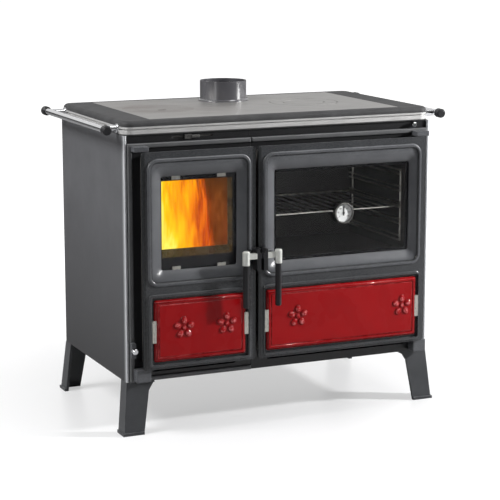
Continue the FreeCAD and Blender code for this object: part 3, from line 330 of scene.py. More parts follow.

# A mask that grows between two heights, with a ragged edge, for soot and for painted shade near
# the floor.
height_fade, given, made = node_group(
    "height_fade", {"Low": 0.4, "High": 0.7, "Ragged": 0.05}, {"Mask": "Float"})
ragged = noise_of(height_fade, 18.0, 5.0)
shift = times(maths("SUBTRACT", ragged, 0.5), given["Ragged"])
level = maths("ADD", along(height_fade, "Z"), shift)
join(spread(level, given["Low"], given["High"]), made, "Mask")
print("shared effects:", [g.name for g in bpy.data.node_groups])

# %% [markdown]
# ## Finishes
# Each finish of the real stove is one material: powder-coated sheet, stove paint on cast iron,
# a ground hob, chrome, black handles, red vitreous enamel, bright clips, glass, woven seal rope,
# firebrick, the inner steel and the dial's white. The Principled shader sits in the material, and
# the shared effects feed its colour, roughness and bump.

# %% Start of every finish
def opened(material):
    """A finish's node tree and its Principled shader."""
    return material.node_tree, material.node_tree.nodes["Principled BSDF"]


def copied(material, ending):
    """A copy of a finish, its name with an ending, and its node tree."""
    double = material.copy()
    double.name = material.name + ending
    return double, double.node_tree


def tint(material, mask, colour):
    """Lays a colour over a finish where a mask says so."""
    shader = opened(material)[1]
    under = shader.inputs["Base Color"].links[0].from_socket
    join(blend_colours(mask, under, colour), shader, "Base Color")


def colour_by(shader, value, *stops, socket="Base Color"):
    """Colours a finish by a value, through (position, colour) stops."""
    join(colours(value, stops), shader, socket)


def bump(shader, height, depth, normal=None):
    """Feeds a height to the shader's normal. The depth is in metres."""
    sockets = {"Height": height, "Distance": depth, "Strength": 1.0}
    if normal is not None:
        sockets["Normal"] = normal
    join(add_node(shader.id_data, "Bump", sockets).outputs[0], shader, "Normal")


def painted(name, dark, light, roughness, pebble=800.0, depth=0.00005, edge_width=0.0014,
            edge_wear_and_highlight_colour=(0.3, 0.305, 0.32), edge_wear_and_highlight_share=0.6, dust=0.06, hollow_shade_share=0.0, **constants):
    """Paint on sheet or casting: pale edges of wear and painted highlight, painted shade in hollows, some
    dust.
    """
    material, tree, shader = new_finish(name, roughness=roughness, **constants)
    grain = use_group(tree, cast_grain, Pebble=pebble, **tones(dark, light))
    edge_wear_and_highlight = use_group(tree, edge_wear_and_painted_light, Width=edge_width)
    ground = grain["Color"]
    # Painted shade in the hollows beside edges and beads.
    if hollow_shade_share > 0:
        hollow_shade = use_group(tree, edge_wear_and_painted_light, Width=0.0036, Break_Up=20.0, Patchy=0.2)
        ground = blend_colours(times(hollow_shade["Mask"], hollow_shade_share), ground, (0.012, 0.012, 0.013, 1.0))
    # Pale edges, partly wear and partly painted highlight.
    worn_and_lit = blend_colours(times(edge_wear_and_highlight["Mask"], edge_wear_and_highlight_share), ground, (*edge_wear_and_highlight_colour, 1.0))
    lying = use_group(tree, settled_dust, Amount=dust)
    join(blend_colours(lying["Mask"], worn_and_lit, (0.32, 0.31, 0.3, 1.0)), shader, "Base Color")
    rough = maths(
        "ADD", spread(grain["Height"], 0.3, 0.7, roughness - 0.05, roughness + 0.05), lying["Mask"])
    join(rough, shader, "Roughness")
    bump(shader, grain["Height"], depth, edge_wear_and_highlight["Normal"])
    return material


def speckled(name, scale, detail, dark, light, stops=(0.3, 0.7), **constants):
    """A finish that noise mottles between two tones. Gives the noise too."""
    material, tree, shader = new_finish(name, **constants)
    speckle = noise_of(tree, scale, detail)
    colour_by(shader, speckle, (stops[0], dark), (stops[1], light))
    return material, shader, speckle


# %% Painted shade in the recess behind the doors
def paint_recess_shade(material, recess_y):
    """A copy of a paint that turns black, as painted shade, on faces that lie further back than recess_y."""
    dark_copy, tree = copied(material, "_with_painted_recess_shade")
    behind = spread(along(tree, "Y"), recess_y, recess_y + 0.001)
    tint(dark_copy, behind, (0.008, 0.008, 0.009, 1.0))
    return dark_copy


# %% Painted shade on the doors' flanks
painted_shade_black = (0.014, 0.015, 0.016, 1.0)


def paint_flank_shade(material, shaded_places):
    """A copy of a paint with painted shade on upright strips. A place is (from, to) along x."""
    flanked, tree = copied(material, "_with_painted_flank_shade")
    x_place = along(tree, "X")
    mask = 0.0
    for start, end in shaded_places:
        middle, half = (start + end) / 2, (end - start) / 2
        away = maths("ABSOLUTE", maths("SUBTRACT", x_place, middle))
        mask = maths("MAXIMUM", mask, spread(away, half, half - 0.0008))
    tint(flanked, mask, painted_shade_black)
    return flanked


# %% Dished fields round the windows
# On the real doors the field inside each bead is dished: it falls faster as it nears the pane, so
# one side catches the lamp and the other turns from it. The CAD has one flat slope there, and a soft
# bump adds the rest. A dark line inside the bead and a darker border outside it are painted shade.
def beyond_nearest(tree, spans_x, span_z, corner):
    """How far a point lies outside the nearest of some upright rectangles with round corners."""
    place = add_node(tree, "SeparateXYZ", {0: object_coords(tree)}).outputs

    def beyond(value, span):
        away = maths("ABSOLUTE", maths("SUBTRACT", value, (span[0] + span[1]) / 2))
        outside = maths("MAXIMUM", maths("SUBTRACT", away, (span[1] - span[0]) / 2 - corner), 0.0)
        return times(outside, outside)

    nearest = 1.0
    for span_x in spans_x:
        reach = maths("SQRT", maths("ADD", beyond(place["X"], span_x), beyond(place["Z"], span_z)))
        nearest = maths("MINIMUM", nearest, reach)
    return maths("SUBTRACT", nearest, corner)


windows_x, window_z, window_corner = ((-0.371, -0.153), (-0.041, 0.376)), (0.452, 0.704), 0.01
beads_x, beads_z, bead_corner = ((-0.4115, -0.1125), (-0.0765, 0.4115)), (0.41, 0.753), 0.03
shade_line_inside_bead, shade_line_half = 0.0102, 0.002


def dish_round_windows(material, dish_width, steepness):
    """Adds the dish, a painted shade line inside the bead and painted shade outside it to a paint of the
    doors.
    """
    tree, shader = opened(material)
    share = spread(beyond_nearest(tree, windows_x, window_z, window_corner), dish_width, 0.0)
    fall = times(times(share, share), -steepness * dish_width / 2)
    bump(shader, fall, 1.0, shader.inputs["Normal"].links[0].from_socket)
    roughness = shader.inputs["Roughness"].links[0].from_socket
    join(maths("ADD", roughness, times(share, 0.16)), shader, "Roughness")
    from_bead = beyond_nearest(tree, beads_x, beads_z, bead_corner)
    # Painted shade: a darker border outside the bead and a dark line just inside it.
    border = times(spread(from_bead, 0.0, 0.0012), 0.62)
    from_shade_line = maths("ABSOLUTE", maths("ADD", from_bead, shade_line_inside_bead))
    shade_line = times(spread(from_shade_line, shade_line_half + 0.0006, shade_line_half - 0.0006), 0.75)
    tint(material, maths("MAXIMUM", border, shade_line), painted_shade_black)


# %% Paints
sheet_paint = painted(
    "sheet_anthracite_paint", (0.072, 0.073, 0.078), (0.092, 0.093, 0.099), 0.42, pebble=1400.0,
    depth=0.00003, edge_width=0.0012, edge_wear_and_highlight_colour=(0.3, 0.3, 0.31), edge_wear_and_highlight_share=0.35, dust=0.08)
# The castings' strong pale edges stand in for highlights on the beads, as painted highlight.
casting_paint = painted(
    "casting_anthracite_paint", (0.062, 0.064, 0.07), (0.086, 0.089, 0.096), 0.27, edge_wear_and_highlight_share=0.8,
    hollow_shade_share=0.7)
leg_paint = painted(
    "leg_anthracite_paint", (0.031, 0.033, 0.036), (0.043, 0.045, 0.049), 0.36, hollow_shade_share=0.5)
black_paint = painted(
    "black_handle_paint", (0.011, 0.011, 0.012), (0.018, 0.018, 0.02), 0.38, pebble=1500.0, depth=0.00003,
    edge_width=0.0008, edge_wear_and_highlight_colour=(0.09, 0.09, 0.1), edge_wear_and_highlight_share=0.4, dust=0.04, Specular_IOR_Level=0.25)
inner_paint = painted(
    "inner_heatproof_paint", (0.012, 0.012, 0.013), (0.022, 0.0215, 0.022), 0.5, pebble=4000.0,
    depth=0.000005, edge_width=0.001, edge_wear_and_highlight_colour=(0.1, 0.1, 0.1), edge_wear_and_highlight_share=0.3, dust=0.05)
collar_paint = painted(
    "collar_gloss_paint", (0.05, 0.049, 0.055), (0.062, 0.061, 0.068), 0.2, pebble=900.0, depth=0.00001,
    edge_width=0.001, edge_wear_and_highlight_colour=(0.2, 0.2, 0.21), edge_wear_and_highlight_share=0.2, dust=0.02, Coat_Weight=1.0,
    Coat_Roughness=0.12, Specular_IOR_Level=1.0)
# The side sheet's front fold and a strip beside it get a painted highlight, and painted shade
# darkens the sheet towards the floor.
fold_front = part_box("side_panel_left")[0][1]
tree = sheet_paint.node_tree
facing = faced(tree)
fold_highlight = spread(maths("ABSOLUTE", times(facing["X"], facing["Y"])), 0.08, 0.35)
beside_fold_highlight = times(spread(along(tree, "Y"), fold_front + 0.018, fold_front + 0.004), 0.5)
floor_shade = use_group(tree, height_fade, Low=0.62, High=0.16, Ragged=0.02)
tint(sheet_paint, floor_shade["Mask"], (0.015, 0.015, 0.017, 1.0))
tint(sheet_paint, maths("MAXIMUM", fold_highlight, beside_fold_highlight), (0.5, 0.51, 0.53, 1.0))
# The frames' paint is lighter than the castings', a painted light where the doors shade the frames.
frame_lit_paint = painted(
    "frame_lightened_paint", (0.075, 0.076, 0.079), (0.105, 0.107, 0.11), 0.32, dust=0.04, hollow_shade_share=0.5)
frame_paint = paint_recess_shade(frame_lit_paint, recess_y=-0.229)
door_flanks_x = ((-0.43, -0.4168), (-0.1072, -0.0815))
door_paint = paint_flank_shade(casting_paint, door_flanks_x)
dish_round_windows(door_paint, dish_width=0.032, steepness=0.6)
print("paints:", sheet_paint.name, casting_paint.name, black_paint.name, inner_paint.name)

# %% Hob
# The plate is ground flat and oiled. Heat has browned it round the lift-out ring.
ring_middle = (-0.262, 0.0325)


def ground_iron(name, dark, light, roughness, brown_share):
    material, tree, shader = new_finish(name, metallic=0.75, roughness=roughness)
    grind = use_group(tree, brushing, Stretch=(14.0, 520.0, 90.0), **tones(dark, light))
    centre = add_node(
        tree, "Mapping", {"Vector": object_coords(tree), "Location": (-ring_middle[0], -ring_middle[1], 0.0),
                          "Scale": (1.0, 1.0, 0.0)})
    away = add_node(tree, "VectorMath", {0: centre.outputs[0]}, operation="LENGTH").outputs["Value"]
    stain = noise_of(tree, 9.0, 6.0)
    heat = times(spread(away, 0.24, 0.08), spread(stain, 0.3, 0.7, 0.4, 1.0))
    heat = times(heat, brown_share)
    join(blend_colours(heat, grind["Color"], (0.13, 0.1, 0.085, 1.0)), shader, "Base Color")
    join(spread(stain, 0.3, 0.7, roughness - 0.06, roughness + 0.08), shader, "Roughness")
    edge_wear_and_highlight = use_group(tree, edge_wear_and_painted_light, Width=0.001)
    bump(shader, grind["Height"], 0.00004, edge_wear_and_highlight["Normal"])
    return material


plate_iron = ground_iron("hob_plate_iron", (0.225, 0.218, 0.212), (0.34, 0.332, 0.324), 0.42, 0.4)
ring_iron = ground_iron("hob_ring_iron", (0.2, 0.193, 0.187), (0.305, 0.296, 0.288), 0.44, 0.5)
# The rim is dark iron. Only its nose is ground bright, in a band at the foot of the round edge.
rim_iron = ground_iron("hob_rim_iron", (0.42, 0.416, 0.41), (0.56, 0.555, 0.55), 0.34, 0.0)
rim_band_middle, rim_band_half = 0.8247, 0.0092
tree, shader = opened(rim_iron)
from_band = maths("ABSOLUTE", maths("SUBTRACT", along(tree, "Z"), rim_band_middle))
off_band = spread(from_band, rim_band_half - 0.0008, rim_band_half + 0.0008)
dark_rim = use_group(
    tree, cast_grain, Pebble=700.0, Mottle=20.0, **tones((0.036, 0.036, 0.037), (0.055, 0.055, 0.056)))
tint(rim_iron, off_band, dark_rim["Color"])
join(spread(off_band, 0.0, 1.0, 0.4, 0.0), shader, "Metallic")
join(spread(off_band, 0.0, 1.0, 0.4, 0.6), shader, "Roughness")
shader.inputs["Specular IOR Level"].default_value = 0.12
print("hob finishes ready")


# %% Bright metals
def bright(name, dark, light, stretch, roughness, depth=0.00001, metallic=1.0):
    """Chrome or brushed steel: a mirror broken by fine lines."""
    material, tree, shader = new_finish(name, metallic=metallic, roughness=roughness)
    lines_of = use_group(tree, brushing, Stretch=stretch, **tones(dark, light))
    join(lines_of["Color"], shader, "Base Color")
    join(spread(lines_of["Streak"], 0.0, 1.0, roughness * 0.8, roughness * 1.25), shader, "Roughness")
    edge_wear_and_highlight = use_group(tree, edge_wear_and_painted_light, Width=0.0008)
    bump(shader, lines_of["Height"], depth, edge_wear_and_highlight["Normal"])
    return material


chrome = bright(
    "polished_chrome", (0.74, 0.745, 0.76), (0.82, 0.825, 0.84), (300.0, 300.0, 300.0), 0.1, 0.000002)
clip_steel = bright("clip_steel", (0.5, 0.485, 0.44), (0.66, 0.64, 0.59), (900.0, 900.0, 60.0), 0.28)
dark_steel = bright("darkened_steel", (0.16, 0.157, 0.15), (0.26, 0.255, 0.245), (400.0, 400.0, 400.0), 0.3)
satin_silver = bright(
    "satin_silver", (0.5, 0.508, 0.478), (0.6, 0.608, 0.575), (200.0, 200.0, 200.0), 0.44, depth=0.000005,
    metallic=0.5)
print("bright metals:", chrome.name, clip_steel.name, dark_steel.name)

# %% Red enamel
# Glass fused on the cast panel: a deep red under a clear gloss. Round the edges it is dark, partly
# where the glaze pooled and partly painted shade, with pale cores of thin glaze and painted highlight.
enamel_red, tree, shader = new_finish(
    "red_vitreous_enamel", roughness=0.3, Specular_IOR_Level=0.06, Coat_Weight=0.25, Coat_Roughness=0.05)
pool = noise_of(tree, 14.0)
edge_wear_and_highlight = use_group(tree, edge_wear_and_painted_light, Width=0.0018, Break_Up=60.0, Patchy=0.9)
pooled_and_shaded = use_group(tree, edge_wear_and_painted_light, Width=0.0045, Break_Up=30.0, Patchy=0.25)
deep = colours(pool, ((0.2, (0.235, 0.0022, 0.0037)), (0.8, (0.275, 0.003, 0.0045))))
# Painted shade round the edges, together with the pooled glaze.
deep = blend_colours(times(pooled_and_shaded["Mask"], 0.85), deep, (0.05, 0.001, 0.002, 1.0))
# Pale edge cores: thin glaze and painted highlight.
join(blend_colours(times(edge_wear_and_highlight["Mask"], 0.85), deep, (0.85, 0.16, 0.16, 1.0)), shader, "Base Color")
join(spread(pool, 0.3, 0.7, 0.22, 0.34), shader, "Roughness")
ripple = noise_of(tree, 120.0)
bump(shader, ripple, 0.00012, edge_wear_and_highlight["Normal"])

# On the pressed flowers the crests carry painted glints, and painted shade lies dark round each foot.
relief_rise = 0.0016
enamel_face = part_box("fire_enamel_panel")[0][1] + relief_rise
flower_enamel = enamel_red.copy()
flower_enamel.name = "flower_enamel"
tree = flower_enamel.node_tree
rise = maths("SUBTRACT", enamel_face, along(tree, "Y"))
glint_spots = noise_of(tree, 190.0)
crest_glint = times(spread(rise, 0.0028, 0.0038), spread(glint_spots, 0.46, 0.56))
# Painted shade round each foot.
tint(flower_enamel, times(spread(rise, 0.0024, 0.0004), 0.9), (0.03, 0.001, 0.002, 1.0))
# Painted glints on the crests.
tint(flower_enamel, times(crest_glint, 0.4), (0.8, 0.3, 0.3, 1.0))
print("enamel:", enamel_red.name, flower_enamel.name)

# %% Glass
door_glass, shader, haze = speckled(
    "ceramic_door_glass", 12.0, 5.0, (0.84, 0.84, 0.845), (0.92, 0.92, 0.925), (0.35, 0.65), roughness=0.0,
    Transmission_Weight=1.0, IOR=1.2)
join(spread(haze, 0.55, 0.8, 0.0, 0.06), shader, "Roughness")

# %% Seal rope, firebrick and dial
seal_rope, tree, shader = new_finish("woven_seal_rope", roughness=0.9, Sheen_Weight=0.2)
braid = add_node(
    tree, "TexWave", {"Vector": object_coords(tree), "Scale": 170.0, "Distortion": 2.0, "Detail": 2.0},
    bands_direction="DIAGONAL")
colour_by(shader, braid.outputs["Fac"], (0.2, (0.05, 0.048, 0.045)), (0.8, (0.2, 0.19, 0.175)))
bump(shader, braid.outputs["Fac"], 0.0008)

firebrick, tree, shader = new_finish("dry_firebrick", roughness=0.92)
clay = use_group(
    tree, cast_grain, Pebble=320.0, Mottle=22.0, **tones((0.15, 0.075, 0.022), (0.34, 0.195, 0.06)))
soot = use_group(tree, height_fade, Low=0.56, High=0.72, Ragged=0.12)
join(blend_colours(times(soot["Mask"], 0.8), clay["Color"], (0.03, 0.026, 0.022, 1.0)), shader, "Base Color")
bump(shader, clay["Height"], 0.0008)

dial_white = speckled("dial_white", 90.0, 4.0, (0.66, 0.67, 0.66), (0.78, 0.79, 0.78), roughness=0.35)[0]
print("finishes so far:", len(bpy.data.materials))

# %% [markdown]
# ## Dress the CAD nodes
# Each CAD node keeps its mesh and gets its finish by the material slot that the record gave it.
# A few nodes share a slot in the record but look different on the real stove, such as the rim
# round the hob, so those are named one by one after the loop.

# %% Give each node its finish
finish_of_slot = {
    "sheet_anthracite": sheet_paint, "casting_anthracite": casting_paint, "hob_polished": plate_iron,
    "chrome": chrome, "black_metal": black_paint, "enamel_red": enamel_red, "steel_bright": clip_steel,
    "glass": door_glass, "rope_seal": seal_rope, "firebrick": firebrick, "inner_steel": inner_paint,
    "dial_white": dial_white,
}
slots_used = {}
for name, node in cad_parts.items():
    for slot in node.material_slots:
        slots_used.setdefault(slot.material.name, []).append(name)
        slot.material = finish_of_slot[slot.material.name]
finish_of_node = {
    "hob_frame": rim_iron, "hob_ring": ring_iron, "hob_disc": ring_iron, "flue_collar": collar_paint,
    "fire_door_casting": door_paint, "oven_door_casting": door_paint,
    "front_frame_left": frame_paint, "front_frame_right": frame_paint,
    "fire_latch_lever": satin_silver, "oven_latch_lever": satin_silver,
    "thermometer_case": dark_steel, "secondary_air_slider": dark_steel,
    "fire_glass_clips": clip_steel, "oven_rack": clip_steel, "oven_runners": clip_steel,
}
for corner in ("back_left", "back_right", "front_left", "front_right"):
    finish_of_node["leg_" + corner] = leg_paint
for name, finish in finish_of_node.items():
    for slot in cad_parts[name].material_slots:
        slot.material = finish
for slot_name, names in slots_used.items():
    print(slot_name, names)

# %% [markdown]
# ## Pieces that are added
# Small print, flames and fasteners are not in the CAD model. Each starts as a bmesh, is shaped with
# bmesh operators, and becomes an object that moves with the body that carries it. One helper does
# the last step for all of them, so that none is left behind when a door opens.

# %% Helper for added pieces
def new_piece(name, shape, material, body, smooth=True):
    """Turns a bmesh into a piece that moves with a body."""
    mesh = bpy.data.meshes.new(name)
    shape.to_mesh(mesh)
    shape.free()
    mesh.materials.append(material)
    for face in mesh.polygons:
        face.use_smooth = smooth
    piece = new_object(name, mesh)
    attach(piece, body)
    return piece


def turned_to(shape, geometry, direction, place):
    """Turns verts from facing up to facing a direction, and moves them to a place."""
    turn = Vector((0, 0, 1)).rotation_difference(Vector(direction)).to_matrix().to_4x4()
    bmesh.ops.transform(shape, matrix=Matrix.Translation(place) @ turn, verts=geometry)


print("piece helper ready")

# %% [markdown]
# ## Logs and embers
# Three logs burn on the grate. A log is a cone whose sides are cut into rings, and noise moves
# each point out or in, so that the bark is ridged along the log. The charred skin is nearly black,
# with a glow in its cracks. Small lumps of ember fill the space below.

# %% Charred wood and embers
fire_box_low, fire_box_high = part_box("firebrick_lining")
grate_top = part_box("fire_grate")[1][2]
print("fire room:", tuple(fire_box_low), tuple(fire_box_high), "grate top", grate_top)

charred_wood, tree, shader = new_finish("charred_wood", roughness=0.95, Emission_Strength=1.0)
grain_of_wood = noise_of(tree, 60.0, 6.0, Roughness=0.7)
colour_by(shader, grain_of_wood, (0.35, (0.012, 0.01, 0.009)), (0.75, (0.09, 0.07, 0.055)))
cracks = add_node(
    tree, "TexVoronoi", {"Vector": object_coords(tree), "Scale": 55.0}, feature="DISTANCE_TO_EDGE")
crack = spread(cracks.outputs["Distance"], 0.09, 0.0)
hot = noise_of(tree, 16.0, 3.0)
glow = times(crack, spread(hot, 0.42, 0.6))
colour_by(shader, glow, (0.0, (0.0, 0.0, 0.0)), (0.4, (0.6, 0.05, 0.0)), (1.0, (1.0, 0.4, 0.04)),
          socket="Emission Color")
bump(shader, cracks.outputs["Distance"], 0.004)

ember, tree, shader = new_finish("glowing_ember", roughness=0.9, Emission_Strength=1.0)
ash = noise_of(tree, 140.0, 5.0)
colour_by(shader, ash, (0.35, (0.03, 0.02, 0.018)), (0.7, (0.22, 0.2, 0.19)))
core = noise_of(tree, 45.0, 4.0)
colour_by(shader, core, (0.4, (0.0, 0.0, 0.0)), (0.52, (0.7, 0.07, 0.0)), (0.68, (1.0, 0.45, 0.06)),
          socket="Emission Color")
bump(shader, ash, 0.002)
print("fire finishes:", charred_wood.name, ember.name)

# %% Logs
def log(name, start, end, radius, seed):
    """A charred log from one end to the other."""
    shape = bmesh.new()
    span = Vector(end) - Vector(start)
    bmesh.ops.create_cone(
        shape, cap_ends=True, segments=28, radius1=radius, radius2=radius * 0.94, depth=span.length)
    long_edges = [e for e in shape.edges if abs(e.verts[0].co.z - e.verts[1].co.z) > 0.001]
    bmesh.ops.subdivide_edges(shape, edges=long_edges, cuts=22, use_grid_fill=True)
    caps = [f for f in shape.faces if abs(f.normal.z) > 0.9]
    bmesh.ops.inset_individual(shape, faces=caps, thickness=radius * 0.15, depth=0.0)
    for vert in shape.verts:
        round_part = Vector((vert.co.x, vert.co.y, 0))
        ridge = noise.noise(Vector((vert.co.x * 90, vert.co.y * 90, vert.co.z * 14 + seed)))
        bend = noise.noise(Vector((seed, 0.0, vert.co.z * 7)))
        vert.co += round_part * ridge * 0.22 + Vector((bend, -bend, 0)) * radius * 0.25
    turned_to(shape, shape.verts, span, (Vector(start) + Vector(end)) / 2)
    bmesh.ops.recalc_face_normals(shape, faces=shape.faces)
    new_piece(name, shape, charred_wood, "stove")


log_radius = 0.03
low_log_z = grate_top + log_radius + 0.004
log("log_left", (-0.318, -0.11, low_log_z), (-0.3, 0.12, low_log_z + 0.002), log_radius, 1.3)
log("log_right", (-0.205, -0.1, low_log_z), (-0.222, 0.13, low_log_z), log_radius * 0.95, 4.1)
log("log_top", (-0.285, -0.03, low_log_z + 0.052), (-0.235, 0.17, low_log_z + 0.054), log_radius * 0.9, 7.7)

# %% Embers
random.seed(5)
lump_count = 46
ember_bed = bmesh.new()
for index in range(lump_count):
    lump_radius = random.uniform(0.005, 0.011)
    lump = bmesh.ops.create_icosphere(ember_bed, subdivisions=2, radius=lump_radius)["verts"]
    place = Vector(
        (random.uniform(-0.35, -0.175), random.uniform(-0.1, 0.13), grate_top + lump_radius * 0.8))
    for vert in lump:
        vert.co *= 1.0 + 0.35 * noise.noise(vert.co * 160 + Vector((index, 0, 0)))
        vert.co.z *= 0.8
    bmesh.ops.translate(ember_bed, verts=lump, vec=place)
new_piece("ember_bed", ember_bed, ember, "stove")
print("logs and embers lie on the grate")

# %% [markdown]
# ## Flames
# A flame has no surface, so it could be a volume, but a volume is slow and is lost in an exported
# model. Here each flame is a bowed upright sheet, and a material lets it show only where the fire is:
# noise drawn out upwards gives tongues, and the sheet's own map fades its sides and top. Hot parts
# are yellow, cooler ones orange to dark red, and the fire leans to the left of its room.

# %% Flame material
flame, tree, shader = new_finish(
    "flame", roughness=1.0, Specular_IOR_Level=0.0, Emission_Strength=1.3,
    Base_Color=(0.02, 0.004, 0.0, 1.0))
sheet_map = add_node(tree, "SeparateXYZ", {0: add_node(tree, "TexCoord").outputs["UV"]})
across = sheet_map.outputs["X"]
upwards = sheet_map.outputs["Y"]
tongues = noise_of(tree, 1.0, 3.0, Distortion=0.5, Vector=stretched(tree, (34.0, 20.0, 6.5)))
wisps = noise_of(tree, 1.0, 2.0, Distortion=0.8, Vector=stretched(tree, (95.0, 40.0, 12.0)))
flicker = maths("ADD", times(tongues, 0.7), times(wisps, 0.3))
left_heat = spread(across, 0.08, 0.95, 1.1, 0.1)
low_heat = spread(upwards, 0.0, 1.0, 0.26, -0.1)
heat = maths("ADD", maths("ADD", left_heat, low_heat), spread(flicker, 0.3, 0.7, -0.3, 0.3), clamp=True)
flame_stops = (
    (0.0, (0.1, 0.014, 0.002)), (0.25, (0.5, 0.055, 0.003)), (0.48, (0.85, 0.2, 0.003)),
    (0.68, (1.0, 0.4, 0.003)), (0.86, (1.0, 0.6, 0.006)), (1.0, (1.0, 0.8, 0.11)))
colour_by(shader, heat, *flame_stops, socket="Emission Color")
tip = maths("ADD", spread(across, 0.0, 1.0, 1.35, 0.66), spread(flicker, 0.3, 0.7, -0.35, 0.35))
top_fade = spread(maths("SUBTRACT", tip, upwards), 0.0, 0.3)
side_fade = times(spread(across, 0.0, 0.06), spread(across, 1.0, 0.9))
side_fade = times(side_fade, spread(upwards, 0.0, 0.05))
join(times(top_fade, side_fade), shader, "Alpha")
print("flame material ready")

# %% Flame sheets
def flame_sheet(name, low_x, high_x, y, top, bow):
    """An upright sheet above the grate, bowed towards the door."""
    shape = bmesh.new()
    shape.loops.layers.uv.new("sheet_map")
    bmesh.ops.create_grid(shape, x_segments=14, y_segments=10, size=0.5, calc_uvs=True)
    foot = grate_top + 0.02
    for vert in shape.verts:
        share_across = vert.co.x + 0.5
        share_up = vert.co.y + 0.5
        lean = 0.012 * math.sin(share_up * 5 + y * 40)
        x = low_x + (high_x - low_x) * share_across + lean
        vert.co = Vector(
            (x, y - bow * math.sin(share_across * math.pi) + lean, foot + (top - foot) * share_up))
    bmesh.ops.reverse_faces(shape, faces=[f for f in shape.faces if f.normal.y > 0])
    new_piece(name, shape, flame, "stove")


flame_sheet("flame_front", -0.372, -0.15, -0.105, 0.75, 0.03)
flame_sheet("flame_middle", -0.368, -0.15, -0.035, 0.76, 0.03)
flame_sheet("flame_rear", -0.362, -0.15, 0.04, 0.765, 0.03)
flame_sheet("flame_back", -0.358, -0.16, 0.115, 0.765, 0.02)

fire_light = bpy.data.lights.new("fire_light", "POINT")
fire_light.color = (1.0, 0.3, 0.06)
fire_light.energy = 0.42
fire_light.shadow_soft_size = 0.06
fire_lamp = new_object("fire_light", fire_light)
fire_lamp.location = (-0.27, -0.15, 0.56)
fire_lamp.visible_camera = fire_lamp.visible_transmission = fire_lamp.visible_glossy = False

# %% [markdown]
# ## Print and film on the panes
# The panes of such doors carry a black border of fired print, which hides the clips and the seal.
# Low and to the right of the fire the pane has browned, where it stays cool. Both are thin frames
# just behind the pane, made from a flat grid whose middle is inset and taken out.

# %% Black print and brown film
pane_print, shader, fine = speckled(
    "fired_black_print", 500.0, 2.0, (0.004, 0.004, 0.005), (0.01, 0.01, 0.012), Specular_IOR_Level=0.05)
join(spread(fine, 0.3, 0.7, 0.4, 0.6), shader, "Roughness")

brown_film, shader, smudge = speckled(
    "brown_heat_film", 40.0, 5.0, (0.05, 0.032, 0.012), (0.1, 0.068, 0.028), roughness=0.6,
    Specular_IOR_Level=0.05)
join(spread(smudge, 0.3, 0.7, 0.78, 0.97), shader, "Alpha")


def upright_ring(outer_x, outer_z, inner_x, inner_z, y, thickness):
    """A bmesh of an upright border between an outer and an inner rectangle."""
    shape = bmesh.new()
    bmesh.ops.create_grid(shape, x_segments=1, y_segments=1, size=0.5)
    inset = bmesh.ops.inset_region(
        shape, faces=shape.faces[:], thickness=0.1, use_boundary=True, use_even_offset=True)["faces"]
    middle = [f for f in shape.faces if f not in inset]
    bmesh.ops.delete(shape, geom=middle, context="FACES_ONLY")
    for vert in shape.verts:
        is_outer = max(abs(vert.co.x), abs(vert.co.y)) > 0.45
        x_span, z_span = (outer_x, outer_z) if is_outer else (inner_x, inner_z)
        vert.co = Vector((x_span[vert.co.x > 0], y, z_span[vert.co.y > 0]))
    bmesh.ops.recalc_face_normals(shape, faces=shape.faces)
    border = bmesh.ops.extrude_face_region(shape, geom=shape.faces[:])["geom"]
    bmesh.ops.translate(
        shape, verts=[g for g in border if isinstance(g, bmesh.types.BMVert)], vec=(0, thickness, 0))
    bmesh.ops.recalc_face_normals(shape, faces=shape.faces)
    return shape


print_gap, print_thickness, film_thickness, overlap = 0.0002, 0.0003, 0.0002, 0.0003


def flat_frame(name, outer, inner, pane_back, thickness, material, body):
    """A thin border between two (x span, z span), printed or stuck on the back of a pane."""
    shape = upright_ring(*outer, *inner, pane_back + print_gap, thickness)
    new_piece(name, shape, material, body, smooth=False)


def pane_place(node, trim=0.003):
    """A pane's spans across and upwards, trimmed, and the place of its back."""
    low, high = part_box(node)
    return ((low[0] + trim, high[0] - trim), (low[2] + trim, high[2] - trim)), high[1]


fire_pane, fire_pane_back = pane_place("fire_door_glass")
oven_pane, oven_pane_back = pane_place("oven_door_glass")
fire_view = ((-0.367, -0.163), (0.485, 0.691))
film_view = ((-0.3672, -0.177), (0.508, 0.6912))
oven_view = ((-0.033, 0.368), (0.46, 0.696))
film_edge = [(low - overlap, high + overlap) for low, high in fire_view]
flat_frame("fire_pane_print", fire_pane, fire_view, fire_pane_back, print_thickness, pane_print, "fire_door")
flat_frame("fire_pane_film", film_edge, film_view, fire_pane_back, film_thickness, brown_film, "fire_door")
flat_frame("oven_pane_print", oven_pane, oven_view, oven_pane_back, print_thickness, pane_print, "oven_door")
print("print stands", print_gap, "m behind the panes")

# %% [markdown]
# ## Petals on the enamel panels
# The panels carry pressed flowers, which only show by the glints on their swellings. The CAD has
# them as very shallow domes, so fuller ones stand over them: half a sphere, flattened and slightly
# long, five round a button. They have a copy of the panel's enamel, with painted glints on the
# crests and painted shade round each foot.

# %% Pressed flowers
petal_turns = [math.radians(90 + 72 * petal) for petal in range(5)]
flower_height = 0.2936
petal_reach = 0.0202
petal_size, button_size = (0.0112, 0.0094, 0.0043), (0.0072, 0.0072, 0.0038)


def swelling(shape, centre, size, turn):
    """A flattened sphere on the panel, its long side at an angle to level. Size is long, wide, high."""
    radial, across, height = size
    ball = bmesh.ops.create_uvsphere(shape, u_segments=28, v_segments=14, radius=1.0)["verts"]
    bmesh.ops.scale(shape, verts=ball, vec=(radial, height, across))
    bmesh.ops.rotate(shape, verts=ball, matrix=Matrix.Rotation(-turn, 3, "Y"))
    bmesh.ops.translate(shape, verts=ball, vec=centre)


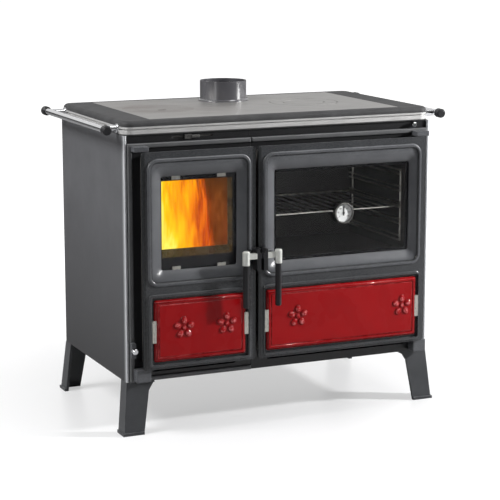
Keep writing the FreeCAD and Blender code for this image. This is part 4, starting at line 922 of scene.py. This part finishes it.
def flowers(name, places, body):
    """Flowers on a panel, at places along x, cut off behind its face."""
    shape = bmesh.new()
    for x in places:
        middle = Vector((x, enamel_face, flower_height))
        swelling(shape, middle, button_size, 0.0)
        for turn in petal_turns:
            spot = middle + Vector((math.cos(turn), 0, math.sin(turn))) * petal_reach
            swelling(shape, spot, petal_size, turn)
    geometry = shape.verts[:] + shape.edges[:] + shape.faces[:]
    bmesh.ops.bisect_plane(
        shape, geom=geometry, plane_co=(0, enamel_face + 0.0002, 0), plane_no=(0, 1, 0), clear_outer=True)
    piece = new_piece(name, shape, flower_enamel, body)


flowers("fire_panel_flowers", (-0.3115, -0.1865), "fire_door")
flowers("oven_panel_flowers", (0.027, 0.354), "oven_door")
print("flowers stand on the face at y =", round(enamel_face, 4))

# %% [markdown]
# ## The bead round each enamel panel
# The rim of the pressed panel is a rounded bead, whose side away from the lamp stays deep red while
# the other side glints. The CAD has a flat border there, so a bead lies on it: an upright ring with
# its front edges bevelled round. The fire panel's bead is lower towards the hinge, where it has to
# pass the pulled air knob when the door stands open.

# %% Panel beads
border_step = 0.0015
border_face = enamel_face + border_step
bead_outside, bead_inside, bead_rise, bead_round, bead_foot = 0.0048, 0.0118, 0.0023, 0.0021, 0.0004


def panel_bead(name, node, body, left_share):
    """A bead round a panel, whose left side rises by a share of what the rest does."""
    low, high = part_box(node)
    spans = [(low[axis] + trim, high[axis] - trim) for trim in (bead_outside, bead_inside) for axis in (0,
                                                                                                        2)]
    shape = upright_ring(*spans, border_face + bead_foot, -(bead_rise + bead_foot))
    crest_y = border_face - bead_rise
    front = [e for e in shape.edges if all(abs(v.co.y - crest_y) < 1e-5 for v in e.verts)]
    rim = [e for e in front if any(abs(f.normal.y) < 0.5 for f in e.link_faces)]
    bmesh.ops.bevel(
        shape, geom=rim, offset=bead_round, offset_type="OFFSET", segments=4, profile=0.5, affect="EDGES",
        material=-1)
    for vert in shape.verts:
        if vert.co.x < low[0] + bead_inside + 0.001 and vert.co.y < border_face:
            vert.co.y = border_face + (vert.co.y - border_face) * left_share
    piece = new_piece(name, shape, enamel_red, body)
    print(name, "has", len(piece.data.polygons), "faces")


panel_bead("fire_panel_bead", "fire_enamel_panel", "fire_door", 0.3)
panel_bead("oven_panel_bead", "oven_enamel_panel", "oven_door", 1.0)

# %% [markdown]
# ## Small fasteners
# Pan-head screws hold the back sheet. One screw is a short cone whose top is inset twice: once for
# its rim, and once for a recess that is pushed in. It is built at the origin and then turned to face
# outwards at its place, and all the screws are one piece.

# %% Screws
def screw(shape, place, direction, radius):
    """A pan-head screw with a round recess, facing a direction."""
    height = radius * 0.6
    made = bmesh.ops.create_cone(
        shape, cap_ends=True, segments=20, radius1=radius, radius2=radius * 0.82, depth=height)["verts"]
    bmesh.ops.translate(shape, verts=made, vec=(0, 0, height / 2))
    faces = {f for v in made for f in v.link_faces}
    top = [f for f in faces if f.normal.z > 0.9 and f.calc_center_median().z > height * 0.9]
    bmesh.ops.inset_region(
        shape, faces=top, thickness=radius * 0.16, depth=radius * 0.06, use_boundary=True,
        use_even_offset=True)
    recess = bmesh.ops.inset_region(
        shape, faces=top, thickness=radius * 0.3, use_boundary=True, use_even_offset=True)
    bmesh.ops.translate(shape, verts=list({v for f in top for v in f.verts}), vec=(0, 0, -radius * 0.3))
    group = set(made) | {v for f in top for v in f.verts} | {v for f in recess["faces"] for v in f.verts}
    grown_group = set(group)
    for vert in group:
        for edge in vert.link_edges:
            grown_group.update(edge.verts)
    turned_to(shape, list(grown_group), direction, place)


panel_low, panel_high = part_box("back_panel")
screw_inset, screw_radius = 0.014, 0.0045
back_places = []
for share in (0.0, 0.25, 0.5, 0.75, 1.0):
    x = panel_low[0] + screw_inset + (panel_high[0] - panel_low[0] - 2 * screw_inset) * share
    back_places += [
        (x, panel_high[1], panel_low[2] + screw_inset), (x, panel_high[1], panel_high[2] - screw_inset)]
for share in (0.33, 0.67):
    z = panel_low[2] + (panel_high[2] - panel_low[2]) * share
    back_places += [
        (panel_low[0] + screw_inset, panel_high[1], z), (panel_high[0] - screw_inset, panel_high[1], z)]
back_screws = bmesh.new()
for place in back_places:
    screw(back_screws, Vector(place), (0, 1, 0), screw_radius)
new_piece("back_panel_screws", back_screws, dark_steel, "stove", smooth=False)
print("back screws:", len(back_places))

# %% [markdown]
# ## The oven dial
# The thermometer's dial has a ring of fine ticks, longer at each fifty degrees, with numbers inside
# them. The ticks are small boxes turned about the dial's centre. The numbers are text, made a mesh
# before they are placed.

# %% Ticks and numbers
dial_low, dial_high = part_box("thermometer_dial")
dial_middle = Vector(((dial_low[0] + dial_high[0]) / 2, dial_low[1], (dial_low[2] + dial_high[2]) / 2))
print("dial middle:", tuple(dial_middle))
dial_ink = speckled("dial_ink", 900.0, 2.0, (0.012, 0.012, 0.012), (0.03, 0.03, 0.03))[0]
ink_height = 0.00015
dial_sweep = math.radians(250)
tick_count, number_count, degrees_between = 31, 7, 50
tick_ring, number_ring, number_size = 0.0233, 0.0162, 0.0058


def dial_angle(share):
    """Clockwise from straight up, from low at the left to high at the right."""
    return (share - 0.5) * dial_sweep


ticks = bmesh.new()
for index in range(tick_count):
    is_long = index % 5 == 0
    tick_length = 0.0036 if is_long else 0.002
    tick = bmesh.ops.create_cube(ticks, size=1.0)["verts"]
    bmesh.ops.scale(ticks, verts=tick, vec=(0.0007 if is_long else 0.0004, ink_height, tick_length))
    bmesh.ops.translate(ticks, verts=tick, vec=(0, -ink_height / 2, tick_ring - tick_length / 2))
    bmesh.ops.rotate(ticks, verts=tick, matrix=Matrix.Rotation(dial_angle(index / (tick_count - 1)), 3, "Y"))
    bmesh.ops.translate(ticks, verts=tick, vec=dial_middle)
new_piece("dial_ticks", ticks, dial_ink, "oven_door", smooth=False)

numbers = bmesh.new()
for index in range(number_count):
    words = bpy.data.curves.new("dial_number", "FONT")
    words.body = str(index * degrees_between)
    words.size = number_size
    words.align_x = words.align_y = "CENTER"
    words.extrude = ink_height / 2
    carrier = bpy.data.objects.new("dial_number", words)
    flat_number = bpy.data.meshes.new_from_object(carrier)
    angle = dial_angle(index / (number_count - 1))
    spot = dial_middle + Vector((math.sin(angle), 0, math.cos(angle))) * number_ring
    spot.y -= ink_height / 2
    flat_number.transform(Matrix.Translation(spot) @ Matrix.Rotation(math.pi / 2, 4, "X"))
    numbers.from_mesh(flat_number)
    bpy.data.objects.remove(carrier)
    bpy.data.meshes.remove(flat_number)
    bpy.data.curves.remove(words)
bmesh.ops.remove_doubles(numbers, verts=numbers.verts, dist=0.000001)
new_piece("dial_numbers", numbers, dial_ink, "oven_door", smooth=False)
print("dial has", tick_count, "ticks and", number_count, "numbers")
